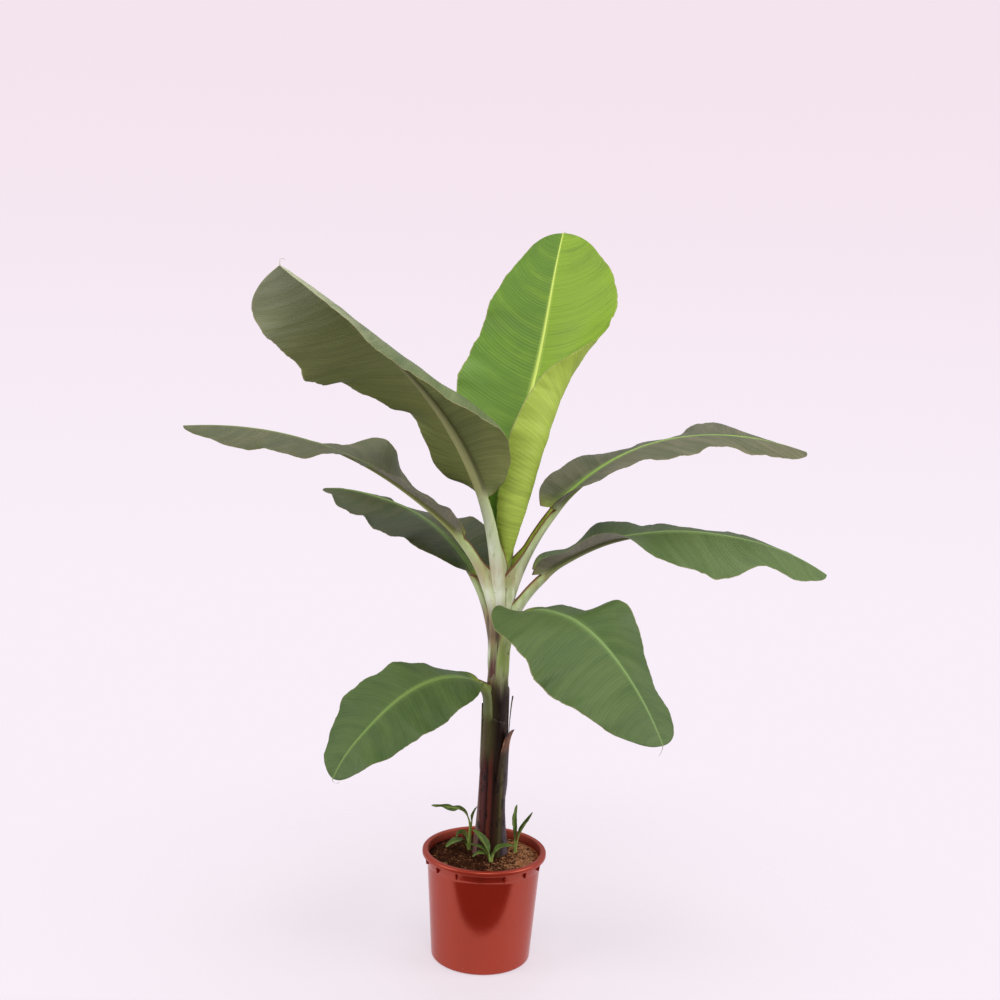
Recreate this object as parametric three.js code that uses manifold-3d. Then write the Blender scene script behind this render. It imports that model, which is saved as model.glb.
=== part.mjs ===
// A young banana plant in a round nursery pot.
// Millimetres, +Z up. The origin is the middle of the pot's flat underside, -Y is the front.
import * as THREE from "three";
import { mergeVertices } from "three/addons/utils/BufferGeometryUtils.js";
import Module from "manifold-3d";

const wasm = await Module();
wasm.setup();
const { degToRad } = THREE.MathUtils;

// ---------------------------------------------------------------- driving sizes

const CLEAR = 0.35; // gap that neighbouring pieces keep

const POT = {
  height: 217,
  rimRadius: 120,
  rimDepth: 10,
  neckRadius: 111.5,
  baseRadius: 96,
  wall: 2.4,
  floor: 4,
  edgeRound: 6,
  fins: 15,
  finHeight: 13,
  finReach: 6,
  finThickness: 2,
  segments: 48,
};

// The soil's surface is flat round the trunk and falls a little from the crown to its edge.
const SOIL = { top: 200, dome: 3, crown: 60, edge: 104, segments: 36 };

// The false stem: wrapped leaf sheaths, widest where they leave the soil.
const TRUNK = {
  x: 10,
  y: 12,
  lean: 0.008, // sideways travel for each millimetre of height
  foot: SOIL.top + SOIL.dome,
  top: 742,
  // radius at even steps from foot to top
  radii: [36, 31, 29, 27, 25.5, 24, 22.5, 21, 19, 15],
  ridge: 0.045, // how far the wrapped sheath edges stand out, as a share of the radius
  ridges: 5,
  twist: 40, // degrees that the ridges turn from foot to top
  sides: 20,
  steps: 16,
};

// Dried ends of sheaths whose leaves have been cut away: plates that hug the trunk and end in a point.
// foot and tip are heights, facing is the compass angle, spread is half the angle that the plate covers,
// and flare is how far the tip leans off the trunk.
const OLD_SHEATHS = [
  { name: "old_sheath_left", foot: 330, tip: 506, facing: 196, spread: 44, flare: 5 },
  { name: "old_sheath_right", foot: 380, tip: 522, facing: -8, spread: 40, flare: 4 },
  { name: "old_sheath_front", foot: 290, tip: 462, facing: -38, spread: 52, flare: 15 },
];

// One entry for each leaf, youngest first. Heights and lengths are millimetres, angles degrees.
//   base      height at which the midrib leaves the trunk's axis
//   heading   compass angle of the rib at its foot, middle and tip (0 is +X, 90 the back)
//   rise      slope of the rib at even steps from foot to tip
//   petiole   length of the bare stalk;  blade  length of the leaf blade
//   right, left  the two halves, seen from the trunk outwards: width, then at even steps along
//   the blade lift, the slope at the rib, and curl, how far it has turned by the margin
//   wave      depth, count and phase of the ripples along each margin
const LEAVES = [
  {
    name: "leaf_centre",
    base: 700,
    heading: [62, 62, 60],
    rise: [80, 84, 82, 72, 66, 72, 74, 68],
    petiole: 60,
    blade: 672,
    right: { width: [60, 130, 165, 170, 150], lift: [-20, -30, -25, -10, 0], curl: [300, 240, 155, 40, 5] },
    left: { width: [60, 110, 130, 130, 90], lift: [20, 15, 10, 5, 0], curl: [120, 60, 10, 0, 0] },
    wave: { right: [3, 4, 0.2], left: [7, 4, 0.1] },
    lobe: 10,
    tint: 0x7fae3a,
  },
  {
    name: "leaf_tall_left",
    base: 660,
    heading: [-129, -133, -133],
    rise: [84, 74, 55, 48, 36, 33, 28],
    petiole: 260,
    blade: 648,
    right: { width: [80, 120, 130, 130, 145], lift: [0, 5, -20, -45, -40], curl: [0, 0, 0, 0, 0] },
    left: { width: [90, 125, 120, 110, 90], lift: [15, 55, 30, 10, 0], curl: [-10, -95, -100, -80, -60] },
    wave: { right: [10, 4, 0.3], left: [6, 4, 0.6] },
    lobe: 25,
    tint: 0x5f7350,
  },
  {
    name: "leaf_upper_right",
    base: 640,
    heading: [8, 14, 18],
    rise: [84, 68, 49, 34, 14, -8, -24],
    petiole: 250,
    blade: 570,
    right: { width: [90, 110, 110, 110, 90], lift: [30, 10, -15, -12, -15], curl: [40, 10, -10, -20, -30] },
    left: { width: [90, 110, 110, 110, 90], lift: [25, 2, -8, -5, -10], curl: [-10, -10, -10, -20, -30] },
    wave: { right: [10, 4, 0.1], left: [8, 4, 0.5] },
    lobe: 30,
    tint: 0x5b6f4b,
  },
  {
    name: "leaf_long_left",
    base: 620,
    heading: [196, 190, 188],
    rise: [84, 66, 43, 33, 20, 10, 2],
    petiole: 170,
    blade: 605,
    right: { width: [90, 110, 110, 100, 70], lift: [-5, 5, 12, -5, -10], curl: [0, 0, 0, -10, -10] },
    left: { width: [80, 100, 105, 95, 70], lift: [20, 20, 15, -5, -5], curl: [0, 0, 0, -10, -10] },
    wave: { right: [12, 4, 0.57], left: [8, 4, 0.7] },
    lobe: 25,
    tint: 0x566a47,
  },
  {
    name: "leaf_middle_right",
    base: 600,
    heading: [-2, 0, 4],
    rise: [82, 55, 31, 15, 0, -14, -32],
    petiole: 165,
    blade: 582,
    right: { width: [90, 100, 105, 105, 90], lift: [55, 20, -30, -14, -35], curl: [10, 10, -10, -20, -10] },
    left: { width: [80, 90, 90, 90, 80], lift: [12, 15, -6, -8, -15], curl: [0, 0, -10, -10, -20] },
    wave: { right: [10, 4, 0.2], left: [6, 4, 0.5] },
    lobe: 30,
    tint: 0x55704a,
  },
  {
    name: "leaf_back_left",
    base: 570,
    heading: [150, 142, 140],
    rise: [84, 70, 46, 28, 10, 2, -2],
    petiole: 190,
    blade: 440,
    right: { width: [90, 100, 100, 90, 60], lift: [30, 10, -20, -15, -5], curl: [0, 0, 0, 0, 0] },
    left: { width: [30, 90, 90, 65, 40], lift: [10, 5, -5, 0, 0], curl: [-10, -20, -40, -30, 0] },
    wave: { right: [8, 4, 0.2], left: [12, 3, 0.5] },
    lobe: 25,
    tint: 0x50644a,
  },
  {
    name: "leaf_low_right",
    base: 560,
    heading: [-50, -46, -40],
    rise: [84, 62, 22, -6, -32, -46, -58],
    petiole: 150,
    blade: 432,
    right: { width: [115, 130, 125, 115, 95], lift: [-2, -8, -10, -10, -10], curl: [0, -10, -20, -20, -10] },
    left: { width: [60, 90, 102, 98, 115], lift: [-8, 8, 4, -8, -10], curl: [0, 0, 0, -10, -10] },
    wave: { right: [8, 3, 0.2], left: [8, 2, 0.5] },
    lobe: 45,
    tint: 0x4f7d46,
  },
  {
    name: "leaf_low_left",
    base: 480,
    heading: [-150, -150, -148],
    rise: [84, 40, 6, -20, -36, -44, -66],
    petiole: 100,
    blade: 364,
    right: { width: [50, 80, 105, 100, 85], lift: [0, 5, 5, 0, 0], curl: [0, 0, 0, 0, 0] },
    left: { width: [60, 100, 100, 90, 75], lift: [0, -20, -25, -20, -10], curl: [0, -10, -10, -10, -10] },
    wave: { right: [6, 3, 0.3], left: [6, 3, 0.6] },
    lobe: 20,
    tint: 0x4f7d46,
  },
];

// The shape that all the leaves share.
const LEAF = {
  baseShare: 0.2, // share of the blade over which it widens
  tipShare: 0.42, // and over which it narrows to the tip
  thickness: 0.01, // of the blade's length
  stalkRadius: [21, 13, 9], // half the width of the stalk at its foot, its middle and the blade
  stalkDepth: [15, 10.5, 8], // how far the rib stands out below at the same places
  ribTip: 1.2, // its depth at the tip
  stalkFold: [20, 85], // lift and curl of the stalk's raised edges
  stalkWall: 5,
  petioleSteps: 7,
  bladeSteps: 18,
  shares: [1, 0.72, 0.36], // where the corners of a cross-section stand between margin and rib
};

// The young shoots at the trunk's foot. Each has a few small leaves that rise from one point of the soil.
const SHOOTS = [
  {
    name: "shoot_left",
    x: -36,
    y: 18,
    leaves: [
      { heading: [185, 178, 170], rise: [88, 80, 10, -50], petiole: 52, blade: 66, width: 22, lift: 15 },
      { heading: [140, 172, 190], rise: [86, 84, 55, 20], petiole: 58, blade: 42, width: 13, lift: 50 },
    ],
  },
  {
    name: "shoot_centre",
    x: 14,
    y: -40,
    leaves: [
      { heading: [150, 150, 150], rise: [88, 62, 45, 30], petiole: 30, blade: 46, width: 13, lift: 35 },
      { heading: [20, 16, 10], rise: [85, 60, 30, 10], petiole: 26, blade: 34, width: 12, lift: 35 },
      { heading: [200, 196, 190], rise: [80, 50, 5, -30], petiole: 24, blade: 36, width: 12, lift: 20 },
    ],
  },
  {
    name: "shoot_right",
    x: 60,
    y: 12,
    leaves: [
      { heading: [150, 150, 150], rise: [88, 82, 74, 66], petiole: 46, blade: 54, width: 14, lift: 40 },
      { heading: [20, 14, 8], rise: [82, 70, 52, 34], petiole: 42, blade: 50, width: 14, lift: 40 },
    ],
  },
];

// The same for the leaves of a shoot.
const SHOOT_LEAF = {
  ...LEAF,
  thickness: 0.03,
  stalkRadius: [4.5, 3.2, 2.4],
  stalkDepth: [3.6, 2.4, 1.8],
  ribTip: 0.6,
  stalkWall: 1.8,
  petioleSteps: 3,
  bladeSteps: 6,
  shares: [1, 0.5],
};

// ---------------------------------------------------------------- helpers

const lerp = THREE.MathUtils.lerp;

// A smooth value at share t of a list whose entries stand at even steps.
function along(list, t) {
  const place = THREE.MathUtils.clamp(t, 0, 1) * (list.length - 1);
  const i = Math.min(Math.floor(place), list.length - 2);
  const f = place - i;
  const at = (k) => list[THREE.MathUtils.clamp(k, 0, list.length - 1)];
  const [a, b, c, d] = [at(i - 1), at(i), at(i + 1), at(i + 2)];
  const [slope, bend, twist] = [c - a, 2 * a - 5 * b + 4 * c - d, 3 * b - a - 3 * c + d];
  return b + 0.5 * f * (slope + f * (bend + f * twist));
}

// A geometry through rings of points, each ring closed and the first and last filled.
function loft(rings) {
  const sides = rings[0].length;
  const positions = rings.flat().flatMap((p) => [p.x, p.y, p.z]);
  const index = [];
  for (let r = 0; r + 1 < rings.length; r++)
    for (let k = 0; k < sides; k++) {
      const a = r * sides + k;
      const b = r * sides + ((k + 1) % sides);
      index.push(a, b, b + sides, a, b + sides, a + sides);
    }
  for (const [ring, flip] of [[0, true], [rings.length - 1, false]]) {
    const middle = rings[ring].reduce((s, p) => s.add(p), new THREE.Vector3()).divideScalar(sides);
    const m = positions.length / 3;
    positions.push(middle.x, middle.y, middle.z);
    for (let k = 0; k < sides; k++) {
      const a = ring * sides + k;
      const b = ring * sides + ((k + 1) % sides);
      index.push(...(flip ? [b, a, m] : [a, b, m]));
    }
  }
  const geometry = new THREE.BufferGeometry();
  geometry.setAttribute("position", new THREE.Float32BufferAttribute(positions, 3));
  geometry.setIndex(index);
  return geometry;
}

// A closed geometry as a solid that can be cut and joined.
function solid(geometry) {
  const bare = new THREE.BufferGeometry();
  bare.setAttribute("position", geometry.getAttribute("position"));
  bare.setIndex(geometry.getIndex());
  const merged = mergeVertices(bare, 1e-3);
  return new wasm.Manifold(
    new wasm.Mesh({
      numProp: 3,
      vertProperties: merged.attributes.position.array,
      triVerts: new Uint32Array(merged.index.array),
    }),
  );
}

// The largest body of a solid, as a geometry.
function largestBody(cut) {
  const bodies = cut.decompose().sort((a, b) => b.volume() - a.volume());
  const mesh = bodies[0].getMesh();
  const geometry = new THREE.BufferGeometry();
  geometry.setAttribute("position", new THREE.BufferAttribute(new Float32Array(mesh.vertProperties), 3));
  geometry.setIndex(new THREE.BufferAttribute(new Uint32Array(mesh.triVerts), 1));
  return geometry;
}

function material(color, roughness) {
  return new THREE.MeshStandardMaterial({ color, roughness, metalness: 0 });
}

function named(name, geometry, look) {
  const mesh = new THREE.Mesh(geometry, look);
  mesh.name = name;
  return mesh;
}

// ---------------------------------------------------------------- pot and soil

// Outer radius of the pot's wall at a height.
const wallRadius = (z) => lerp(POT.baseRadius, POT.neckRadius, z / POT.height);

function potGeometry() {
  const inner = (z) => wallRadius(z) - POT.wall;
  const lipIn = POT.neckRadius - POT.wall;
  const profile = [
    [0, 0],
    [POT.baseRadius - POT.edgeRound, 0],
    [POT.baseRadius - POT.edgeRound * 0.3, POT.edgeRound * 0.3],
    [wallRadius(POT.edgeRound), POT.edgeRound],
    [wallRadius(POT.height - POT.rimDepth), POT.height - POT.rimDepth],
    [POT.rimRadius - 1.5, POT.height - POT.rimDepth],
    [POT.rimRadius, POT.height - POT.rimDepth + 1.5],
    [POT.rimRadius, POT.height - 4],
    [POT.rimRadius - 4, POT.height],
    [lipIn + 2, POT.height],
    [lipIn, POT.height - 2],
    [inner(POT.height - POT.rimDepth), POT.height - POT.rimDepth],
    [inner(POT.edgeRound), POT.edgeRound],
    [inner(POT.floor) - 2, POT.floor],
    [0, POT.floor],
  ].map(([r, z]) => new THREE.Vector2(r, z));
  let pot = solid(new THREE.LatheGeometry(profile, POT.segments).rotateX(Math.PI / 2));
  const finTop = POT.height - POT.rimDepth + 1;
  const finInner = POT.neckRadius - 3;
  for (let k = 0; k < POT.fins; k++) {
    const fin = new THREE.BoxGeometry(POT.finReach + 3, POT.finThickness, POT.finHeight)
      .translate(finInner + (POT.finReach + 3) / 2, 0, finTop - POT.finHeight / 2)
      .rotateZ(degToRad(-93 + (360 / POT.fins) * k));
    pot = pot.add(solid(fin));
  }
  return largestBody(pot);
}

function soilGeometry() {
  const edge = wallRadius(SOIL.top) - POT.wall - CLEAR;
  const low = POT.floor + CLEAR;
  const profile = [
    [0, low],
    [wallRadius(POT.floor) - POT.wall - 2 - CLEAR * 2, low],
    [wallRadius(POT.edgeRound + 1) - POT.wall - CLEAR * 2, POT.edgeRound + 1],
    [edge - CLEAR, SOIL.top - 3],
    [SOIL.edge, SOIL.top],
    [SOIL.crown, SOIL.top + SOIL.dome],
    [0, SOIL.top + SOIL.dome],
  ].map(([r, z]) => new THREE.Vector2(r, z));
  return new THREE.LatheGeometry(profile, SOIL.segments).rotateX(Math.PI / 2);
}

// ---------------------------------------------------------------- trunk

function trunkRadius(z) {
  return along(TRUNK.radii, (z - TRUNK.foot) / (TRUNK.top - TRUNK.foot));
}

function trunkAxis(z) {
  return new THREE.Vector3(TRUNK.x + (z - TRUNK.foot) * TRUNK.lean, TRUNK.y, z);
}

// The trunk, or a copy that is larger all round, for cutting its neighbours.
function trunkGeometry(grow = 0) {
  const rings = [];
  for (let i = 0; i <= TRUNK.steps; i++) {
    const t = i / TRUNK.steps;
    const z = lerp(TRUNK.foot + CLEAR, TRUNK.top, t);
    const ring = [];
    for (let k = 0; k < TRUNK.sides; k++) {
      const angle = (k / TRUNK.sides) * 2 * Math.PI;
      const ridge = Math.sin(TRUNK.ridges * angle - degToRad(TRUNK.twist) * t * TRUNK.ridges);
      const radius = trunkRadius(z) * (1 + TRUNK.ridge * ridge) + grow;
      const out = new THREE.Vector3(Math.cos(angle), Math.sin(angle), 0).multiplyScalar(radius);
      const ends = i === 0 ? -grow : i === TRUNK.steps ? grow : 0;
      ring.push(trunkAxis(z).add(out).setZ(z + ends));
    }
    rings.push(ring);
  }
  return loft(rings);
}

// A plate round part of the trunk that narrows to a point and leans off it.
function oldSheathGeometry(sheath, grow = 0) {
  const steps = 6;
  const columns = 6;
  const thickness = 2.6;
  const rings = [];
  for (let i = 0; i <= steps; i++) {
    const t = i / steps;
    const z = lerp(sheath.foot - grow, sheath.tip + grow, t);
    const axis = trunkAxis(z);
    const lift = sheath.flare * t * t * t;
    const near = trunkRadius(z) * (1 + TRUNK.ridge) + CLEAR;
    const spread = degToRad(sheath.spread) * Math.sqrt(1 - t * 0.94) + grow / near;
    const face = (offset, k) => {
      const angle = degToRad(sheath.facing) + lerp(-spread, spread, k / columns);
      const out = new THREE.Vector3(Math.cos(angle), Math.sin(angle), 0);
      return axis.clone().addScaledVector(out, near + lift + offset);
    };
    const ring = [];
    for (let k = 0; k <= columns; k++) ring.push(face(-grow, k));
    for (let k = columns; k >= 0; k--) ring.push(face(thickness + grow, k));
    rings.push(ring.reverse());
  }
  return loft(rings);
}

// ---------------------------------------------------------------- leaves

// The rib's line: a point and a frame at even steps of its length.
function ribLine(leaf, steps) {
  const length = leaf.petiole + leaf.blade;
  const fine = 12;
  const point = leaf.from.clone();
  const line = [];
  for (let i = 0; i <= steps * fine; i++) {
    const t = i / (steps * fine);
    const rise = degToRad(along(leaf.rise, t));
    const heading = degToRad(along(leaf.heading, t));
    const forward = new THREE.Vector3(
      Math.cos(rise) * Math.cos(heading),
      Math.cos(rise) * Math.sin(heading),
      Math.sin(rise),
    );
    const side = new THREE.Vector3(Math.sin(heading), -Math.cos(heading), 0);
    const up = new THREE.Vector3().crossVectors(side, forward);
    line.push({ t, point: point.clone(), forward, side, up });
    point.addScaledVector(forward, length / (steps * fine));
  }
  return line;
}

// How wide the blade is at share u of its length, against its full width.
function outline(u) {
  const base = Math.min(1, u / LEAF.baseShare);
  const tip = Math.max(0, (u - 1 + LEAF.tipShare) / LEAF.tipShare);
  return Math.sqrt(1 - (1 - base) ** 2) * Math.sqrt(Math.max(0, 1 - tip ** 2.6));
}

// A point of the blade's middle surface, and its upward normal, at share q from the rib to the margin.
function bladePoint(leaf, frame, half, sign, u, q, width, fold) {
  const { point, forward, side, up } = frame;
  const [lift, curl] = fold.map(degToRad);
  const bend = Math.abs(curl) < 1e-3 ? 1e-3 : curl;
  const turn = lift + bend * q;
  const out = (Math.sin(turn) - Math.sin(lift)) / bend;
  const rise = (Math.cos(lift) - Math.cos(turn)) / bend;
  const [depth, count, phase] = leaf.wave[half];
  const swing = (turns) => Math.sin(2 * Math.PI * turns);
  const swell = swing(count * u + phase) + 0.45 * swing(2.3 * count * u + 2.6 * phase);
  const ripple = u > 0 && u < 1 ? depth * q * q * swell * Math.sin(Math.PI * u) ** 0.5 : 0;
  const back = leaf.lobe * q * Math.max(0, 1 - u / 0.45) ** 2 * Math.min(1, u / 0.02);
  const normal = up.clone().multiplyScalar(Math.cos(turn)).addScaledVector(side, -sign * Math.sin(turn));
  const place = point
    .clone()
    .addScaledVector(side, sign * width * out)
    .addScaledVector(up, width * rise)
    .addScaledVector(forward, -back)
    .addScaledVector(normal, ripple);
  return { place, normal };
}

// The leaf as one closed loft: its stalk's open channel widens into the blade, with the rib below.
function leafGeometry(leaf, form, grow = 0) {
  const length = leaf.petiole + leaf.blade;
  const share = leaf.petiole / length;
  const stations = [];
  for (let i = 0; i < form.petioleSteps; i++) stations.push((share * i) / form.petioleSteps);
  for (let i = 0; i <= form.bladeSteps; i++) {
    const u = i / form.bladeSteps;
    stations.push(share + (1 - share) * lerp(u, (1 - Math.cos(Math.PI * u)) / 2, 0.5));
  }
  const line = ribLine(leaf, 60);
  const rings = stations.map((t) => {
    const frame = line[Math.round(t * (line.length - 1))];
    const u = (t - share) / (1 - share);
    const stalk = Math.min(1, t / share);
    const toBlade = THREE.MathUtils.smoothstep(u, -0.03, 0.07);
    const stalkWidth = along(form.stalkRadius, stalk);
    const wall = lerp(form.stalkWall, form.thickness * leaf.blade, toBlade) / 2 + grow;
    const depth = lerp(along(form.stalkDepth, stalk), form.ribTip, Math.max(0, u)) + grow;
    const ribHalf = lerp(stalkWidth * 0.55, 1.5, Math.max(0, u)) + grow;
    const at = (half, sign, q) => {
      const shape = leaf[half];
      const bladeWidth = Math.max(4, along(shape.width, u) * outline(Math.max(0, u)));
      const width = lerp(stalkWidth, bladeWidth, toBlade) + grow;
      const fold = [
        lerp(form.stalkFold[0], along(shape.lift, u), toBlade),
        lerp(form.stalkFold[1], along(shape.curl, u), toBlade),
      ];
      return { ...bladePoint(leaf, frame, half, sign, Math.max(0, u), q, width, fold), width };
    };
    const face = (half, sign, q, offset) => {
      const { place, normal } = at(half, sign, q);
      return place.addScaledVector(normal, offset);
    };
    const ribShare = (half, sign) => Math.min(0.3, ribHalf / at(half, sign, 0).width);
    const top = [
      ...form.shares.map((q) => face("left", -1, q, wall)),
      face("left", -1, 0, wall),
      ...form.shares.toReversed().map((q) => face("right", 1, q, wall)),
    ];
    const bottom = [
      ...form.shares.map((q) => face("right", 1, q, -wall)),
      face("right", 1, ribShare("right", 1), -wall - depth * 0.55),
      face("right", 1, 0, -wall - depth),
      face("left", -1, ribShare("left", -1), -wall - depth * 0.55),
      ...form.shares.toReversed().map((q) => face("left", -1, q, -wall)),
    ];
    return [...top, ...bottom];
  });
  return loft(rings);
}

// A shoot's leaf in the large leaves' terms, both halves alike.
function shootLeaf({ width, lift, ...young }, from) {
  const half = { width: [width * 0.7, width, width], lift: [lift, lift, lift * 0.5], curl: [0, 0, 0] };
  const wave = { right: [1, 2, 0.2], left: [1, 2, 0.6] };
  return { ...young, from, right: half, left: half, wave, lobe: 0 };
}

// ---------------------------------------------------------------- the plant

const group = new THREE.Group();
const sheathLook = material(0x6b2c22, 0.5);

group.add(named("pot", potGeometry(), material(0xa0361f, 0.45)));
group.add(named("soil", soilGeometry(), material(0x4a2e1c, 0.95)));
group.add(named("trunk", trunkGeometry(), sheathLook));

// Adds each piece in turn, cut back from what stands before it.
const cutters = [solid(trunkGeometry(CLEAR)), solid(soilGeometry().translate(0, 0, CLEAR))];
function addClear(name, whole, grown, look) {
  const cut = cutters.reduce((left, cutter) => left.subtract(cutter), whole);
  group.add(named(name, largestBody(cut), look));
  cutters.push(grown);
}

for (const entry of LEAVES) {
  const leaf = { ...entry, from: trunkAxis(entry.base) };
  const piece = (grow) => solid(leafGeometry(leaf, LEAF, grow));
  addClear(leaf.name, piece(0), piece(CLEAR), material(leaf.tint, 0.5));
}

for (const sheath of OLD_SHEATHS) {
  const piece = (grow) => solid(oldSheathGeometry(sheath, grow));
  addClear(sheath.name, piece(0), piece(CLEAR), material(0x5a4028, 0.8));
}

for (const shoot of SHOOTS) {
  const from = new THREE.Vector3(shoot.x, shoot.y, SOIL.top - 2);
  const piece = (grow) =>
    shoot.leaves
      .map((young) => solid(leafGeometry(shootLeaf(young, from), SHOOT_LEAF, grow)))
      .reduce((whole, next) => whole.add(next));
  addClear(shoot.name, piece(0), piece(CLEAR), material(0x7a9a4a, 0.55));
}

export default group;
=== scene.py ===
"""A young banana plant in a nursery pot, built in detail round its CAD frame.

Shapes are worked out in millimetres, and made metres where a mesh is written.
The origin is the middle of the pot's underside, +Z is up and -Y is the front.
"""

import math

import bpy
import numpy as np
from mathutils import Matrix, Vector


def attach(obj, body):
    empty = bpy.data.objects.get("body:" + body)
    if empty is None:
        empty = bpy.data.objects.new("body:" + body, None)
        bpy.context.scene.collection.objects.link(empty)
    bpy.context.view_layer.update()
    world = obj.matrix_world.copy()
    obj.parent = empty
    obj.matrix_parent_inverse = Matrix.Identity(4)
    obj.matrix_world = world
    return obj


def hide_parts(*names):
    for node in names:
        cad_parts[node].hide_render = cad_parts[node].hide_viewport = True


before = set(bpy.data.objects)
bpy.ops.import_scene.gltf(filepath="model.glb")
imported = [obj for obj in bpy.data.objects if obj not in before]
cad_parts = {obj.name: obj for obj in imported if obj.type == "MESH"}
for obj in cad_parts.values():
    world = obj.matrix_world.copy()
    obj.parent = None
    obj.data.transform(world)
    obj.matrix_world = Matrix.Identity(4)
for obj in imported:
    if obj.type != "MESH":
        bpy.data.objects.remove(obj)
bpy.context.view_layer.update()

bl_info = {
    "name": "Potted banana plant",
    "version": (1, 0, 0),
    "blender": (4, 5, 0),
    "location": "3D View > Sidebar > Banana plant",
    "description": "Builds a young banana plant in its nursery pot round the CAD frame",
    "category": "Object",
}

MM = 0.001
BODY = "root"

# The false stem's axis, and its radius at even steps from foot to top.
TRUNK = {
    "x": 10, "y": 12, "lean": 0.008, "foot": 203.4, "top": 742,
    "radii": [35, 29, 26.5, 25.5, 25, 24, 22, 20.5, 18.5, 15],
    # the old sheaths' cut ends and thickness, the rounding of the top, and the height of a wrap
    "cut": 500, "sheath": 4.2, "round_from": 730, "round": 13, "wrap": 540,
}

POT = {
    "height": 217, "rim": 120, "rim_depth": 10, "neck": 111.5, "base": 96,
    "wall": 2.4, "floor": 4, "round": 6, "step": 15,
}

SOIL = {"top": 200, "dome": 3, "crown": 60, "edge": 104}
SOIL_AREA = 0.034  # square metres, for the number of fibres

# The stem's middle and width, in metres, as its skin reads them.
STEM_MIDDLE = 0.0105
STEM_WIDTH = 0.054

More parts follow.
